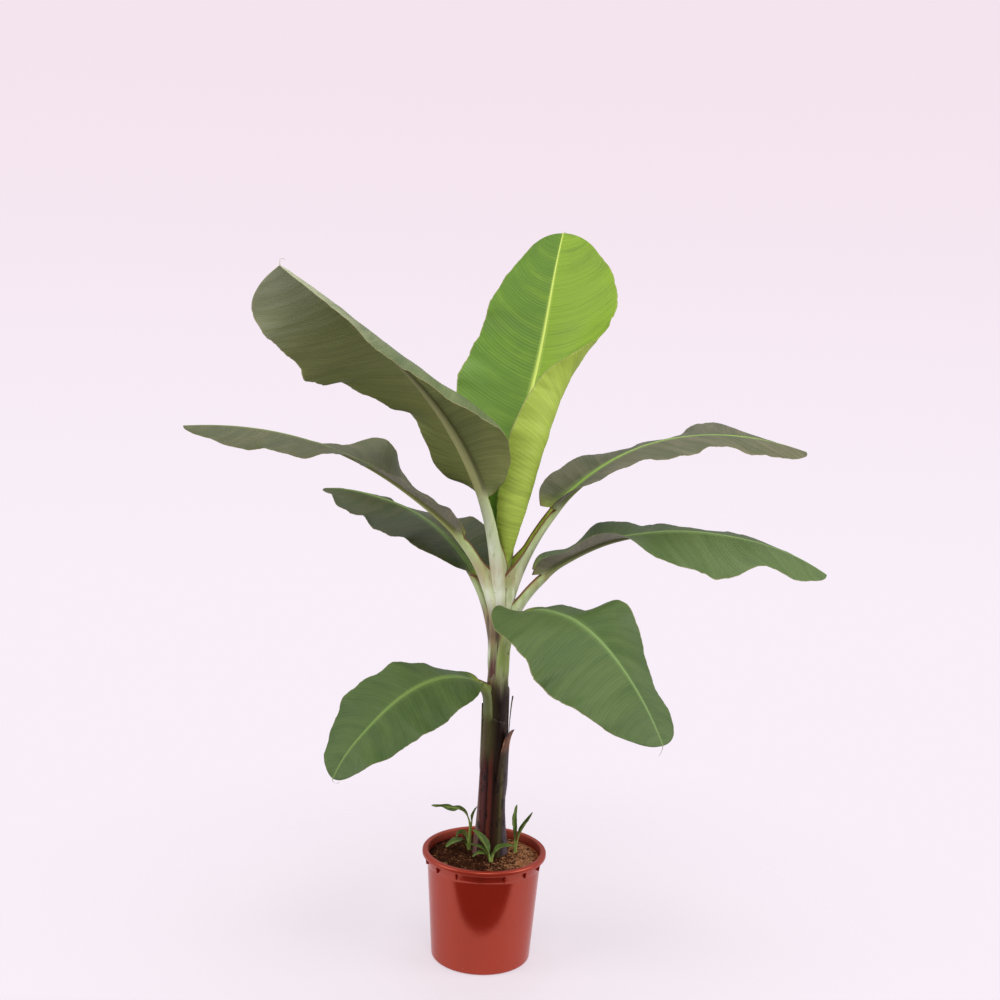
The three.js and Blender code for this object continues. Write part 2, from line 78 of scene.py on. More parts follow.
# Leaves, youngest first. base is the height where the rib leaves the axis, heading and rise steer
# the rib, and each half has its width, and its lift and curl away from the rib at even steps.
LEAVES = [
    dict(
        name="leaf_centre", base=700, heading=[62, 62, 60], rise=[80, 84, 82, 72, 66, 72, 74, 68],
        petiole=60, blade=672, lobe=(10, 10), ear=(0.2, 0.5), over=-5, wrap=(0, 60), wisp=(10, 60),
        right=dict(width=[60, 146, 182, 180, 150], lift=[-20, -30, -25, -10, 0],
                   curl=[300, 240, 168, 46, 5], wave=(3, 4, 0.2)),
        left=dict(width=[20, 82, 146, 132, 128], lift=[20, 15, 10, 5, 0],
                  curl=[120, 60, 10, 0, 0], wave=(7, 4, 0.1)),
    ),
    dict(
        name="leaf_tall_left", base=660, heading=[-129, -133, -133], rise=[84, 75, 58, 47, 36, 32, 27],
        petiole=260, blade=648, lobe=(25, 14), ear=(0.2, 0.5), over=-4.4, wrap=(50, 165), wisp=(22, -200),
        right=dict(width=[84, 106, 112, 126, 152, 146, 132, 148, 190], lift=[0, 5, -20, -45, -40],
                   curl=[0, 0, 0, 0, 0], wave=(8, 4, 0.3)),
        left=dict(width=[60, 132, 122, 108, 84], lift=[15, 52, 12, -6, -10],
                  curl=[-10, -95, -62, -40, -30], wave=(4, 3, 0.6)),
    ),
    dict(
        name="leaf_upper_right", base=640, heading=[8, 14, 18], rise=[84, 68, 50, 30, 8, -6, -17],
        petiole=266, blade=562, lobe=(20, 30), ear=(0.16, 0.6),
        over=-3.8, wrap=(30, 170), twist=24, wisp=(0, 0),
        right=dict(width=[80, 96, 98, 100, 96, 80, 84, 84, 80], lift=[22, 8, 0, -4, -6, 0, -10, -8, -6],
                   curl=[14, 4, -10, -20, -30], wave=(4, 4, 0.1)),
        left=dict(width=[90, 100, 104, 94, 88, 114, 130, 96, 66], lift=[44, 20, 7, -5, -6, 7, 15, 6, -6],
                  curl=[-10, -10, -10, -20, -20], wave=(4, 4, 0.5)),
    ),
    dict(
        name="leaf_long_left", base=620, heading=[196, 190, 188], rise=[84, 66, 43, 33, 20, 7, -4],
        petiole=226, blade=572, lobe=(16, 0), ear=(0.2, 0.6), over=-3.0, wrap=(50, 165), wisp=(0, 0),
        right=dict(width=[90, 100, 105, 112, 90, 74, 66, 58, 50], lift=[24, 8, 8, 27, 0, -7, -6, -6, -6],
                   curl=[0, 0, 0, -10, -10], wave=(3, 5, 0.57)),
        left=dict(width=[60, 76, 76, 72, 66, 66, 66, 72, 70], lift=[24, 18, 10, 8, 0, -20, -24, -24, -14],
                  curl=[0, 0, 0, -10, -10], wave=(4, 5, 0.7)),
    ),
    dict(
        name="leaf_middle_right", base=600, heading=[-2, 0, 4], rise=[82, 55, 31, 12, -4, -16, -32],
        petiole=185, blade=571, lobe=(38, 34), ear=(0.14, 0.55), over=-2.4, wrap=(0, 112), wisp=(0, 0),
        right=dict(width=[60, 58, 68, 94, 114, 116, 86, 96, 86],
                   lift=[56, 22, 19, -16, -24, -24, -12, -19, -20],
                   curl=[10, 10, -10, -20, -10], wave=(3, 4, 0.2)),
        left=dict(width=[90, 84, 92, 92, 90, 86, 80, 74, 66], lift=[44, 2, 15, 2, 1, 0, 2, 0, -4],
                  curl=[0, 0, -10, -10, -20], wave=(3, 4, 0.5)),
    ),
    dict(
        name="leaf_back_left", base=570, heading=[150, 142, 140], rise=[84, 70, 46, 28, 10, 2, -8],
        petiole=190, blade=448, lobe=(30, 12), ear=(0.24, 0.7), over=-1.8, wrap=(20, 120), wisp=(0, 0),
        right=dict(width=[90, 100, 100, 76, 46], lift=[30, 10, -20, -17, -5],
                   curl=[0, 0, 0, 0, 0], wave=(5, 4, 0.2)),
        left=dict(width=[30, 86, 94, 84, 66, 46], lift=[10, 5, -15, -54, -50, -30],
                  curl=[-10, -20, 0, 60, 70, 40], wave=(7, 3, 0.5)),
    ),
    dict(
        name="leaf_low_right", base=560, heading=[-50, -47, -48], rise=[84, 60, 14, -12, -32, -45, -56],
        petiole=140, blade=444, lobe=(16, 10), ear=(0.12, 0.5), over=-0.9, wrap=(24, 100), wisp=(26, 90),
        right=dict(width=[60, 108, 126, 132, 144, 140, 126, 114, 102],
                   lift=[32, -4, -12, -12, -18, -16, -11, -8, -8],
                   curl=[0, -10, -20, -20, -10], wave=(5, 4, 0.2)),
        left=dict(width=[60, 64, 70, 98, 104, 98, 92, 98, 116], lift=[0, 4, -4, 20, 2, -12, -16, -14, -8],
                  curl=[0, 0, 0, -10, -10], wave=(3, 2, 0.5)),
    ),
    dict(
        name="leaf_low_left", base=480, heading=[-150, -150, -148], rise=[84, 38, 2, -23, -39, -46, -64],
        petiole=86, blade=366, lobe=(6, 10), ear=(0.16, 0.55), over=1.7, wrap=(4, 66), wisp=(24, 150),
        right=dict(width=[46, 74, 104, 114, 106, 92], lift=[0, 6, 11, 4, 0],
                   curl=[0, 0, 0, 0, 0], wave=(6, 3, 0.3)),
        left=dict(width=[54, 88, 98, 80, 70], lift=[-4, -22, -25, -18, -8],
                  curl=[-30, -10, -10, -10, -10], wave=(5, 3, 0.6)),
    ),
]

# What all the leaves share, and the same for the small leaves of a shoot.
LEAF_FORM = dict(
    stalk=[21, 14, 11], depth=[12, 10.5, 8], rib_tip=1.0, rib=[10, 8.2, 5.6, 4.2, 3.1, 2.2, 1.2],
    fold=(20, 85), wall=5, blade_wall=0.9, vein_pitch=5.6, clasp=130, clasp_rows=36, stalk_rows=60,
    across=18, frill=1.0, tip=(0.42, 2.6),
    # the sheath: half its hold in degrees, how deep and how far its foot is tucked in, its widening
    hold=172, tuck=(4.5, 45), widening=0.08,
)
SHOOT_FORM = dict(
    stalk=[4.2, 3.0, 2.0], depth=[3.4, 2.2, 1.3], rib_tip=0.3, rib=[1.6, 1.2, 0.8, 0.5],
    fold=(20, 85), wall=1.4, blade_wall=0.45, vein_pitch=3, clasp=0, clasp_rows=0, stalk_rows=20,
    across=8, frill=0.3, tip=(0.7, 1.3),
)

SHOOTS = [
    dict(name="shoot_left", x=-30, y=18, leaves=[
        dict(heading=[185, 180, 176], rise=[88, 90, 90, 62, 12, 2, 6], petiole=72, blade=82, width=7.5,
             lift=[25, 60, -30, 50, -10], turn=70),
        dict(heading=[210, 214, 222], rise=[86, 60, 18, -12, -22], petiole=22, blade=52, width=12,
             lift=[35, 15, 5], turn=0),
        dict(heading=[150, 170, 230], rise=[88, 80, 40, -40], petiole=30, blade=30, width=9,
             lift=[50, 60, 30], turn=0),
        dict(heading=[60, 40, 20], rise=[88, 86, 82, 60], petiole=64, blade=32, width=5,
             lift=[45, 40, 20], turn=0),
    ]),
    dict(name="shoot_centre", x=14, y=-40, leaves=[
        dict(heading=[150, 150, 150], rise=[88, 66, 56, 44, 20], petiole=22, blade=58, width=12,
             lift=[40, 25, 10], turn=10),
        dict(heading=[20, 10, 4], rise=[88, 74, 40, 12, -6], petiole=22, blade=46, width=12,
             lift=[35, 20, 10], turn=0),
        dict(heading=[200, 200, 206], rise=[84, 56, 10, -34], petiole=16, blade=40, width=9,
             lift=[30, 15, 5], turn=0),
        dict(heading=[170, 166, 160], rise=[88, 60, 20, 6], petiole=20, blade=44, width=8,
             lift=[30, 20, 10], turn=0),
        dict(heading=[60, 50, 40], rise=[84, 78, 70, 60], petiole=8, blade=22, width=5,
             lift=[50, 45, 30], turn=0),
    ]),
    dict(name="shoot_right", x=60, y=12, leaves=[
        dict(heading=[150, 165, 170], rise=[88, 86, 82, 96, 104], petiole=30, blade=76, width=8.5,
             lift=[50, 20, -10], turn=50),
        dict(heading=[20, 12, 8], rise=[86, 82, 66, 58, 66], petiole=34, blade=62, width=7.5,
             lift=[55, 35, 20], turn=-30),
    ]),
]

# Dried sheath ends: heights of foot and tip, compass angle, half spread and lean off the trunk.
DRY_SHEATHS = [
    dict(name="old_sheath_left", foot=330, tip=506, facing=186, spread=26,
         flare=1.5, sharp=3, dry=0.3, pale=0.5),
    dict(name="old_sheath_right", foot=380, tip=522, facing=-2, spread=24,
         flare=5, sharp=4, dry=0.1, pale=1.0),
    dict(name="old_sheath_front", foot=290, tip=462, facing=-38, spread=50,
         flare=15, sharp=9, dry=0.7, pale=0.0),
]

# Linear colours of each leaf: the lit face and its shade, which are painted light and painted shade on the
# upper face, the underside, the rib and the stalk.
# sides, where given, is how much lighter the right half and darker the left half of a leaf is painted.
LEAF_COLOURS = {
    # leaf_centre's bright yellow-green, its underside most, is partly its own colour and partly a painted
    # glow of light shining through the leaf.
    "leaf_centre": dict(
        lit=(0.215, 0.350, 0.026), shade=(0.095, 0.200, 0.018), under=(0.46, 0.60, 0.090),
        sides=0.15, rib=(0.56, 0.68, 0.14), rib_under=(0.50, 0.60, 0.20),
        stalk=(0.52, 0.60, 0.22), stalk_end=(0.36, 0.46, 0.11)),
    # leaf_tall_left's tip colour is partly a painted sheen.
    "leaf_tall_left": dict(
        lit=(0.16, 0.19, 0.085), shade=(0.085, 0.115, 0.045), under=(0.235, 0.262, 0.080),
        tip=(0.34, 0.36, 0.22), rib=(0.26, 0.32, 0.10), rib_under=(0.40, 0.40, 0.17),
        stalk=(0.64, 0.68, 0.48), stalk_end=(0.40, 0.41, 0.17)),
    # leaf_upper_right's greyish-pink lit face and grey-beige underside are partly a painted sheen.
    "leaf_upper_right": dict(
        lit=(0.160, 0.145, 0.088), shade=(0.068, 0.078, 0.034), under=(0.200, 0.180, 0.115),
        rib=(0.27, 0.42, 0.09), rib_under=(0.30, 0.34, 0.12),
        stalk=(0.64, 0.68, 0.46), stalk_end=(0.38, 0.43, 0.16)),
    # The grey-beige undersides of leaf_long_left and leaf_middle_right are partly a painted sheen.
    "leaf_long_left": dict(
        lit=(0.125, 0.120, 0.054), shade=(0.066, 0.080, 0.030), under=(0.240, 0.225, 0.150),
        rib=(0.22, 0.27, 0.09), rib_under=(0.34, 0.36, 0.11),
        stalk=(0.60, 0.66, 0.38), stalk_end=(0.33, 0.36, 0.12)),
    "leaf_middle_right": dict(
        lit=(0.108, 0.160, 0.050), shade=(0.066, 0.112, 0.030), under=(0.260, 0.240, 0.155),
        rib=(0.20, 0.30, 0.10), rib_under=(0.27, 0.30, 0.11),
        stalk=(0.56, 0.61, 0.40), stalk_end=(0.33, 0.38, 0.15)),
    "leaf_back_left": dict(
        lit=(0.070, 0.072, 0.026), shade=(0.032, 0.050, 0.012), under=(0.24, 0.25, 0.13),
        rib=(0.13, 0.20, 0.05), rib_under=(0.20, 0.22, 0.09),
        stalk=(0.55, 0.62, 0.40), stalk_end=(0.28, 0.34, 0.13)),
    "leaf_low_right": dict(
        lit=(0.092, 0.142, 0.040), shade=(0.056, 0.102, 0.024), under=(0.13, 0.14, 0.07),
        rib=(0.17, 0.265, 0.08), rib_under=(0.22, 0.26, 0.10), bloom=0.35,
        stalk=(0.33, 0.41, 0.14), stalk_end=(0.36, 0.42, 0.18)),
    "leaf_low_left": dict(
        lit=(0.088, 0.142, 0.036), shade=(0.054, 0.100, 0.022), under=(0.13, 0.14, 0.06),
        rib=(0.17, 0.27, 0.06), rib_under=(0.20, 0.22, 0.08),
        stalk=(0.17, 0.20, 0.060), stalk_end=(0.14, 0.17, 0.045), bloom=0.1),
}
# The same for the shoots' leaves, where lit and shade are painted light and painted shade too.
SHOOT_COLOURS = dict(
    lit=(0.100, 0.165, 0.020), shade=(0.030, 0.065, 0.008), under=(0.22, 0.29, 0.06),
    rib=(0.26, 0.34, 0.07), rib_under=(0.26, 0.34, 0.09), stalk=(0.24, 0.33, 0.07),
)

# ------------------------------------------------------------------ shapes


def along(values, share):
    """A smooth value at each share of a list whose entries stand at even steps."""
    values = np.asarray(values, float)
    last = len(values) - 1
    place = np.clip(share, 0, 1) * last
    i = np.minimum(place.astype(int), last - 1)
    f = place - i
    a, b, c, d = (values[np.clip(i + k, 0, last)] for k in (-1, 0, 1, 2))
    return b + 0.5 * f * (c - a + f * (2 * a - 5 * b + 4 * c - d + f * (3 * b - a - 3 * c + d)))


def smooth(x, low, high):
    """0 at low and 1 at high, with a soft start and end."""
    t = np.clip((x - low) / (high - low), 0, 1)
    return t * t * (3 - 2 * t)


def lerp(a, b, t):
    return a + (b - a) * t


def wander(seed, x, y=0.0, waves=7):
    """Smooth noise between about -1 and 1 whose bumps are about one unit apart."""
    random = np.random.default_rng(seed)
    total = 0
    for k in range(waves):
        pitch = 2.2 * 1.35**k * 0.6
        way = random.uniform(0, 2 * math.pi)
        wave = np.sin(pitch * (x + y * math.sin(way)) + random.uniform(0, 2 * math.pi))
        total = total + wave / (1 + 0.35 * k)
    return total / 3.0


def trunk_radius(z):
    return along(TRUNK["radii"], (np.asarray(z, float) - TRUNK["foot"]) / (TRUNK["top"] - TRUNK["foot"]))


def trunk_axis(z):
    z = np.asarray(z, float)
    return np.stack([TRUNK["x"] + (z - TRUNK["foot"]) * TRUNK["lean"], np.full_like(z, TRUNK["y"]), z], -1)


def blade_outline(u, ear, end):
    """How wide the blade is at share u of its length, against its full width."""
    base = np.minimum(1, u / ear[0])
    tip = np.maximum(0, (u - 1 + end[0]) / end[0])
    return (1 - (1 - base) ** 2) ** ear[1] * np.sqrt(np.maximum(0, 1 - tip ** end[1]))


class RibLine:
    """The line of a leaf's rib, with its directions, at any distance from the leaf's foot."""

    STEPS = 1440

    def __init__(self, leaf, start):
        self.length = leaf["petiole"] + leaf["blade"]
        self.leaf, self.start = leaf, start
        share = np.linspace(0, 1, self.STEPS + 1)
        self.at = share * self.length
        forward = self.ways(self.at)[0]
        steps = np.cumsum(forward[:-1], 0) * self.length / self.STEPS
        self.points = start + np.vstack([np.zeros(3), steps])

    def ways(self, s):
        share = np.asarray(s) / self.length
        foot = smooth(s, -60, 0)
        rise = np.radians(90 + (along(self.leaf["rise"], share) - 90) * foot)
        heading = np.radians(along(self.leaf["heading"], share))
        forward = np.stack(
            [np.cos(rise) * np.cos(heading), np.cos(rise) * np.sin(heading), np.sin(rise)], -1
        )
        side = np.stack([np.sin(heading), -np.cos(heading), 0 * heading], -1)
        return forward, side, np.cross(side, forward)

    def point(self, s):
        above = np.stack([np.interp(s, self.at, self.points[:, k]) for k in range(3)], -1)
        below = trunk_axis(self.start[2] + np.minimum(s, 0)) - trunk_axis(self.start[2])
        return above + below


def leaf_rows(leaf, form):
    """How far from the stalk's foot each row of a leaf is, and the side vein that it's at."""
    rows_in_vein = 4
    share = np.linspace(0, 1, rows_in_vein * round(leaf["blade"] / form["vein_pitch"]) + 1)
    sheath, stalk = form["clasp_rows"], form["stalk_rows"]
    rows = np.concatenate([
        -form["clasp"] * (1 - np.arange(sheath) / max(1, sheath)),
        leaf["petiole"] * np.arange(stalk) / stalk,
        leaf["petiole"] + leaf["blade"] * lerp(share, (1 - np.cos(math.pi * share)) / 2, 0.3),
    ])
    return rows, (np.arange(len(rows)) - sheath - stalk) / rows_in_vein


def leaf_columns(form):
    """The points round a row of a leaf: over its upper face, round a margin and back below.

    Gives the columns near the rib, in half widths of the rib, and the shares of those further
    out; then each point's half (1 right, -1 left), column and face (1 upper, -1 lower, 0 edge).
    """
    near = np.array([0, 0.25, 0.5, 0.72, 0.9, 1.05, 1.17, 1.27, 1.5])
    far = 1 - (1 - np.arange(1, form["across"] + 1) / form["across"]) ** 1.2
    last = len(near) + len(far) - 1
    points = []
    for face in (1, -1):
        points += [(-face, column, face) for column in range(last, 0, -1)]
        points += [(face, column, face) for column in range(last + 1)]
        points += [(face, last, 0)]
    sign, column, face = np.array(points).T
    return near, far, sign[None].astype(float), column, face[None].astype(float)


def leaf_loft(leaf, form, start, seed=1):
    """A leaf as closed rings of points: sheath round the trunk, open stalk, and blade with its rib.

    The blade's rows follow its side veins, which lean towards the tip as they near the margin.
    Returns the rings and the marks that the trees and the finishes read.
    """
    line = RibLine(leaf, start)
    petiole, blade = leaf["petiole"], leaf["blade"]
    clasp = form["clasp"]
    rows, vein = leaf_rows(leaf, form)

    # sizes of the stalk and its sheath along the rows
    u0 = (rows - petiole) / blade
    to_blade = smooth(u0, -0.03, 0.07)
    up_stalk = np.clip(rows / petiole, 0, 1)
    stalk = along(form["stalk"], up_stalk)
    solid_depth = lerp(along(form["depth"], up_stalk), form["rib_tip"], np.clip(u0, 0, 1))
    fold_lift, fold_curl = (math.radians(angle) for angle in form["fold"])
    bend_radius = stalk / fold_curl
    if clasp:
        # the sheath's foot is tucked in, and its wrap opens out into the stalk's channel
        start_s, end_s = leaf["wrap"]
        opening = smooth(rows, start_s, end_s)
        slack = smooth(rows, lerp(start_s, end_s, 0.45), end_s + 12)
        deep, far_in = form["tuck"]
        tucked = deep * (1 - smooth(rows, -clasp, -clasp + far_in))
        radius = trunk_radius(start[2] + rows) + leaf["over"] - tucked
        radius = radius + form["widening"] * np.clip(rows, 0, 150)
        filled = smooth(rows, -20, 0.55 * petiole)
        depth = lerp(1.2, solid_depth, filled)
        wall = lerp(1.5, 3.0, filled)
        hug = radius - wall / 2 - depth
        bend_radius = lerp(hug, bend_radius, slack)
        fold_lift, fold_curl = fold_lift * slack, lerp(math.radians(form["hold"]), fold_curl, opening)
        inward = (solid_depth + form["wall"] / 2 - depth - wall / 2) * (1 - to_blade)
        snug = (radius - solid_depth - form["wall"] / 2) * (1 - smooth(rows, 0, 70))
        shift = np.where(rows < 0, hug, inward + snug)
    else:
        depth, wall = solid_depth, np.full_like(rows, form["wall"] * 0.7)
        fold_lift, fold_curl = np.full_like(rows, fold_lift), np.full_like(rows, fold_curl)
        slack, shift = np.ones_like(rows), 0 * rows
    half_stalk = bend_radius * fold_curl
    wall = lerp(wall, form["blade_wall"], to_blade)
    rib_half = lerp(stalk * 0.62, along(form["rib"], u0), to_blade)

    near, far, sign, column, face = leaf_columns(form)
    is_right = sign > 0

    def pick(make):
        """Each point's value, made from its own half of the leaf."""
        return np.where(is_right, make(leaf["right"]), make(leaf["left"]))

    # share from rib to margin of each point: fine round the rib, then even
    u_row, bladed = u0[:, None], to_blade[:, None]
    u_blade = np.clip(u_row, 0, 1)
    outline = blade_outline(u_blade, leaf["ear"], form["tip"])
    full_width = np.maximum(4, pick(lambda half: along(half["width"], u_row)) * outline)
    width_guess = lerp(half_stalk[:, None], full_width, bladed)
    reach = np.minimum(rib_half[:, None] / width_guess, 0.62 / near[-1])
    inner = near[np.minimum(column, len(near) - 1)][None] * reach
    outer_step = np.concatenate([np.zeros(len(near)), far])[column][None]
    q = np.where(column[None] < len(near), inner, lerp(near[-1] * reach, 1, outer_step))

    # along the rib: rows lean forward with the side veins
    lean = q**1.5 * u_blade * (1 - u_blade) * (0.25 + 0.5 * u_blade**2)
    u = u_row + lean
    s = petiole + u * blade
    uc = np.clip(u, 0, 1)
    spread = pick(lambda half: along(half["width"], uc))
    notches = 0.022 * wander(seed, s / 55, sign * 9) + 0.012 * wander(seed + 1, s / 14, sign * 5)
    rag = 1 + form["frill"] * notches
    blade_width = np.maximum(4 if clasp else 1.2, spread * blade_outline(uc, leaf["ear"], form["tip"]) * rag)
    width = lerp(half_stalk[:, None], blade_width, bladed)
    twist = math.radians(leaf.get("twist", 0)) * slack[:, None] * sign
    blade_lift, blade_curl = (
        np.radians(pick(lambda half, key=key: along(half[key], uc))) for key in ("lift", "curl"))
    lift = lerp(fold_lift[:, None] - twist, blade_lift, bladed)
    curl = lerp(fold_curl[:, None], blade_curl, bladed)
    curl = np.where(np.abs(curl) < 1e-3, 1e-3, curl)
    turn = lift + curl * q
    out = (np.sin(turn) - np.sin(lift)) / curl
    rise = (np.cos(lift) - np.cos(turn)) / curl
    forward, side_way, up_way = line.ways(s)
    place = line.point(s)
    inside = np.sin(math.pi * uc) ** 0.5

    def swell(half):
        height, count, phase = half["wave"]
        finer = np.sin(2 * math.pi * (2.3 * count * uc + 2.6 * phase))
        return height * (np.sin(2 * math.pi * (count * uc + phase)) + 0.45 * finer)

    crimps = 1.6 * wander(seed + 2, s / 26, sign * 7) + 0.9 * wander(seed + 3, s / 9, sign * 3)
    ripple = (pick(swell) * q**2 * inside + form["frill"] * q**3 * inside * crimps) * bladed
    # the lobes at the blade's foot reach back towards the trunk
    back = np.where(is_right, *leaf["lobe"]) * q
    back = back * np.maximum(0, 1 - uc / 0.45) ** 2 * np.minimum(1, uc / 0.025)
    normal = up_way * np.cos(turn)[..., None] - (sign * np.sin(turn))[..., None] * side_way
    across_way = side_way * (sign * np.cos(turn))[..., None] + up_way * np.sin(turn)[..., None]

    # the sheet's two faces, with the rib below and its channel above
    x = q * width / rib_half[:, None]
    thin = (1 - 0.65 * q**6) * wall[:, None] / 2
    rib_depth = depth[:, None]
    bulge = rib_depth * np.sqrt(np.maximum(0, 1 - (x / 1.27) ** 2))
    channel = bladed * np.minimum(rib_depth, 4.5) * (
        0.16 * np.exp(-(((x - 0.85) / 0.3) ** 2)) - 0.2 * np.exp(-((x / 0.45) ** 2))
    )
    offset = np.where(face > 0, thin + channel, np.where(face < 0, -thin - bulge, 0))
    beyond = np.where(face == 0, 0.4 * thin, 0)
    points = (
        place
        - up_way * shift[:, None, None]
        + side_way * (sign * width * out)[..., None]
        + up_way * (width * rise)[..., None]
        - forward * back[..., None]
        + normal * (ripple + offset)[..., None]
        + across_way * beyond[..., None]
    )
    # the sheath's margins stay on the stem while its rib leaves it
    centre = place + up_way * (bend_radius - shift)[:, None, None]
    away = (centre - trunk_axis(centre[..., 2])) * [1, 1, 0]
    held = smooth(np.abs(turn), 1.0, 2.2) * (1 - slack)[:, None] * (1 - bladed)
    points = points - away * held[..., None]
    marks = {
        "hem": (1 - q) * width,
        "climb": uc + 0 * q,
        "up_stalk": s / petiole + 0 * q,
        "vein": vein[:, None] + 0 * q,
        "share": q + 0 * u,
        "half": sign + 0 * q,
        "upper": (face + 1) / 2 + 0 * q,
        "rib": x + 0 * q,
        "bladed": bladed + 0 * q,
        "reach": s + 0 * q,
        "lift_way": normal,
    }
    return points, marks


def wisp_loft(leaf, line):
    """The dry thread in which a leaf ends, as rings of points, with the marks of a leaf's margin."""
    length, bend = leaf["wisp"]
    t = np.linspace(0, 1, 22)
    tip = line.point(line.length - 3.0)
    forward, side, up = line.ways(line.length)
    angle = np.radians(bend) * t
    step = np.cos(angle)[:, None] * forward - np.sin(angle)[:, None] * up
    step = step + 0.5 * np.sin(3 * angle)[:, None] * side
    path = tip + np.cumsum(step, 0) * length / len(t)
    around = np.arange(6) / 6 * 2 * math.pi
    across = np.cos(around)[:, None] * side + np.sin(around)[:, None] * up
    rings = path[:, None] + across * (0.75 - 0.5 * t)[:, None, None]
    one = np.ones(rings.shape[:2])
    marks = {key: one for key in ("share", "upper", "bladed", "climb", "up_stalk")}
    marks.update({key: 0 * one for key in ("hem", "vein", "half", "reach")})
    return rings, {**marks, "rib": 9 * one, "lift_way": 0 * rings}


def pot_radius(z):
    """The pot's outer radius at a height, below its rim."""
    return lerp(POT["base"], POT["neck"], z / POT["height"])


def quarter(radius, z, size, start):
    """Seven points of a quarter circle round a centre, from an angle in degrees on."""
    angles = np.radians(start + 15 * np.arange(7))
    return [(radius + size * math.cos(a), z + size * math.sin(a)) for a in angles]


def turned(profile, sides):
    """Rings of points round the pot's axis, one for each radius and height."""
    angle = np.arange(sides) / sides * 2 * math.pi
    radius, z = np.asarray(profile, float).T[:2, :, None]
    return np.stack([radius * np.cos(angle), radius * np.sin(angle), z + 0 * angle], -1)


def plate(name, corners):
    """A flat mesh of one face."""
    mesh = bpy.data.meshes.new(name)
    mesh.from_pydata(corners, [], [list(range(len(corners)))])
    return mesh


def loft_mesh(name, parts):
    """One mesh of closed lofts. Each part is its rings, in millimetres, and the marks of their points."""
    points, quads, fans, marks = [], [], [], {}
    count = 0
    for rings, part_marks in parts:
        rows, sides = rings.shape[:2]
        index = count + np.arange(rows * sides).reshape(rows, sides)
        nxt = np.roll(index, -1, 1)
        quad = np.stack([index[:-1], nxt[:-1], nxt[1:], index[1:]], -1).reshape(-1, 4)
        ends = np.stack([rings[0].mean(0), rings[-1].mean(0)])
        a, b = count + rows * sides, count + rows * sides + 1
        fan = np.concatenate([
            np.stack([nxt[0], index[0], np.full(sides, a)], -1),
            np.stack([index[-1], nxt[-1], np.full(sides, b)], -1),
        ])
        # turned inside out where the loft runs the other way
        corner = np.concatenate([rings.reshape(-1, 3), ends])
        local = quad - count
        tris = np.concatenate([local[:, [0, 1, 2]], local[:, [0, 2, 3]], fan - count])
        p, q, r = corner[tris[:, 0]], corner[tris[:, 1]], corner[tris[:, 2]]
        if np.einsum("ij,ij->i", p, np.cross(q, r)).sum() < 0:
            quad, fan = quad[:, ::-1], fan[:, ::-1]
        points.append(corner)
        quads.append(quad)
        fans.append(fan)
        for key, values in part_marks.items():
            flat = values.reshape(rows * sides, -1)
            closing = np.stack([end.reshape(sides, -1).mean(0) for end in (values[0], values[-1])])
            marks.setdefault(key, []).append(np.concatenate([flat, closing]))
        count += rows * sides + 2
    mesh = bpy.data.meshes.new(name)
    faces = np.concatenate(quads).tolist() + np.concatenate(fans).tolist()
    mesh.from_pydata((np.concatenate(points) * MM).tolist(), [], faces)
    for key, values in marks.items():
        values = np.concatenate(values).astype(np.float32)
        vector = values.shape[1] == 3
        layer = mesh.attributes.new(key, "FLOAT_VECTOR" if vector else "FLOAT", "POINT")
        layer.data.foreach_set("vector" if vector else "value", values.ravel())
    mesh.polygons.foreach_set("use_smooth", np.ones(len(mesh.polygons), bool))
    mesh.update()
    return mesh


# ------------------------------------------------------------------ nodes


def pick_socket(sockets, key):
    """A socket by its place, its identifier or its name."""
    if isinstance(key, int):
        return sockets[key]
    found = [s for s in sockets if s.identifier == key] or [s for s in sockets if s.name == key and s.enabled]
    if not found:
        raise KeyError(f"no socket {key!r} among {[s.identifier for s in sockets]}")
    return found[0]


class Wire:
    """A node's output. Sums and products with it add the Math nodes that work them out."""

    def __init__(self, board, socket):
        self.board, self.socket = board, socket

    def __add__(self, other):
        return self.board.maths("ADD", self, other)

    __radd__ = __add__

    def __sub__(self, other):
        return self.board.maths("SUBTRACT", self, other)

    def __rsub__(self, other):
        return self.board.maths("SUBTRACT", other, self)

    def __mul__(self, other):
        return self.board.maths("MULTIPLY", self, other)

    __rmul__ = __mul__

    def __truediv__(self, other):
        return self.board.maths("DIVIDE", self, other)

    def __pow__(self, other):
        return self.board.maths("POWER", self, other)

    def step(self, low, high):
        """0 below low and 1 above high, softly, or the other way round where low is the greater."""
        return self.board.add(
            "ShaderNodeMapRange", {"interpolation_type": "SMOOTHSTEP"},
            {"Value": self, "From Min": low, "From Max": high},
        )

    def sine(self):
        return self.board.maths("SINE", self)

    def most(self, other):
        return self.board.maths("MAXIMUM", self, other)


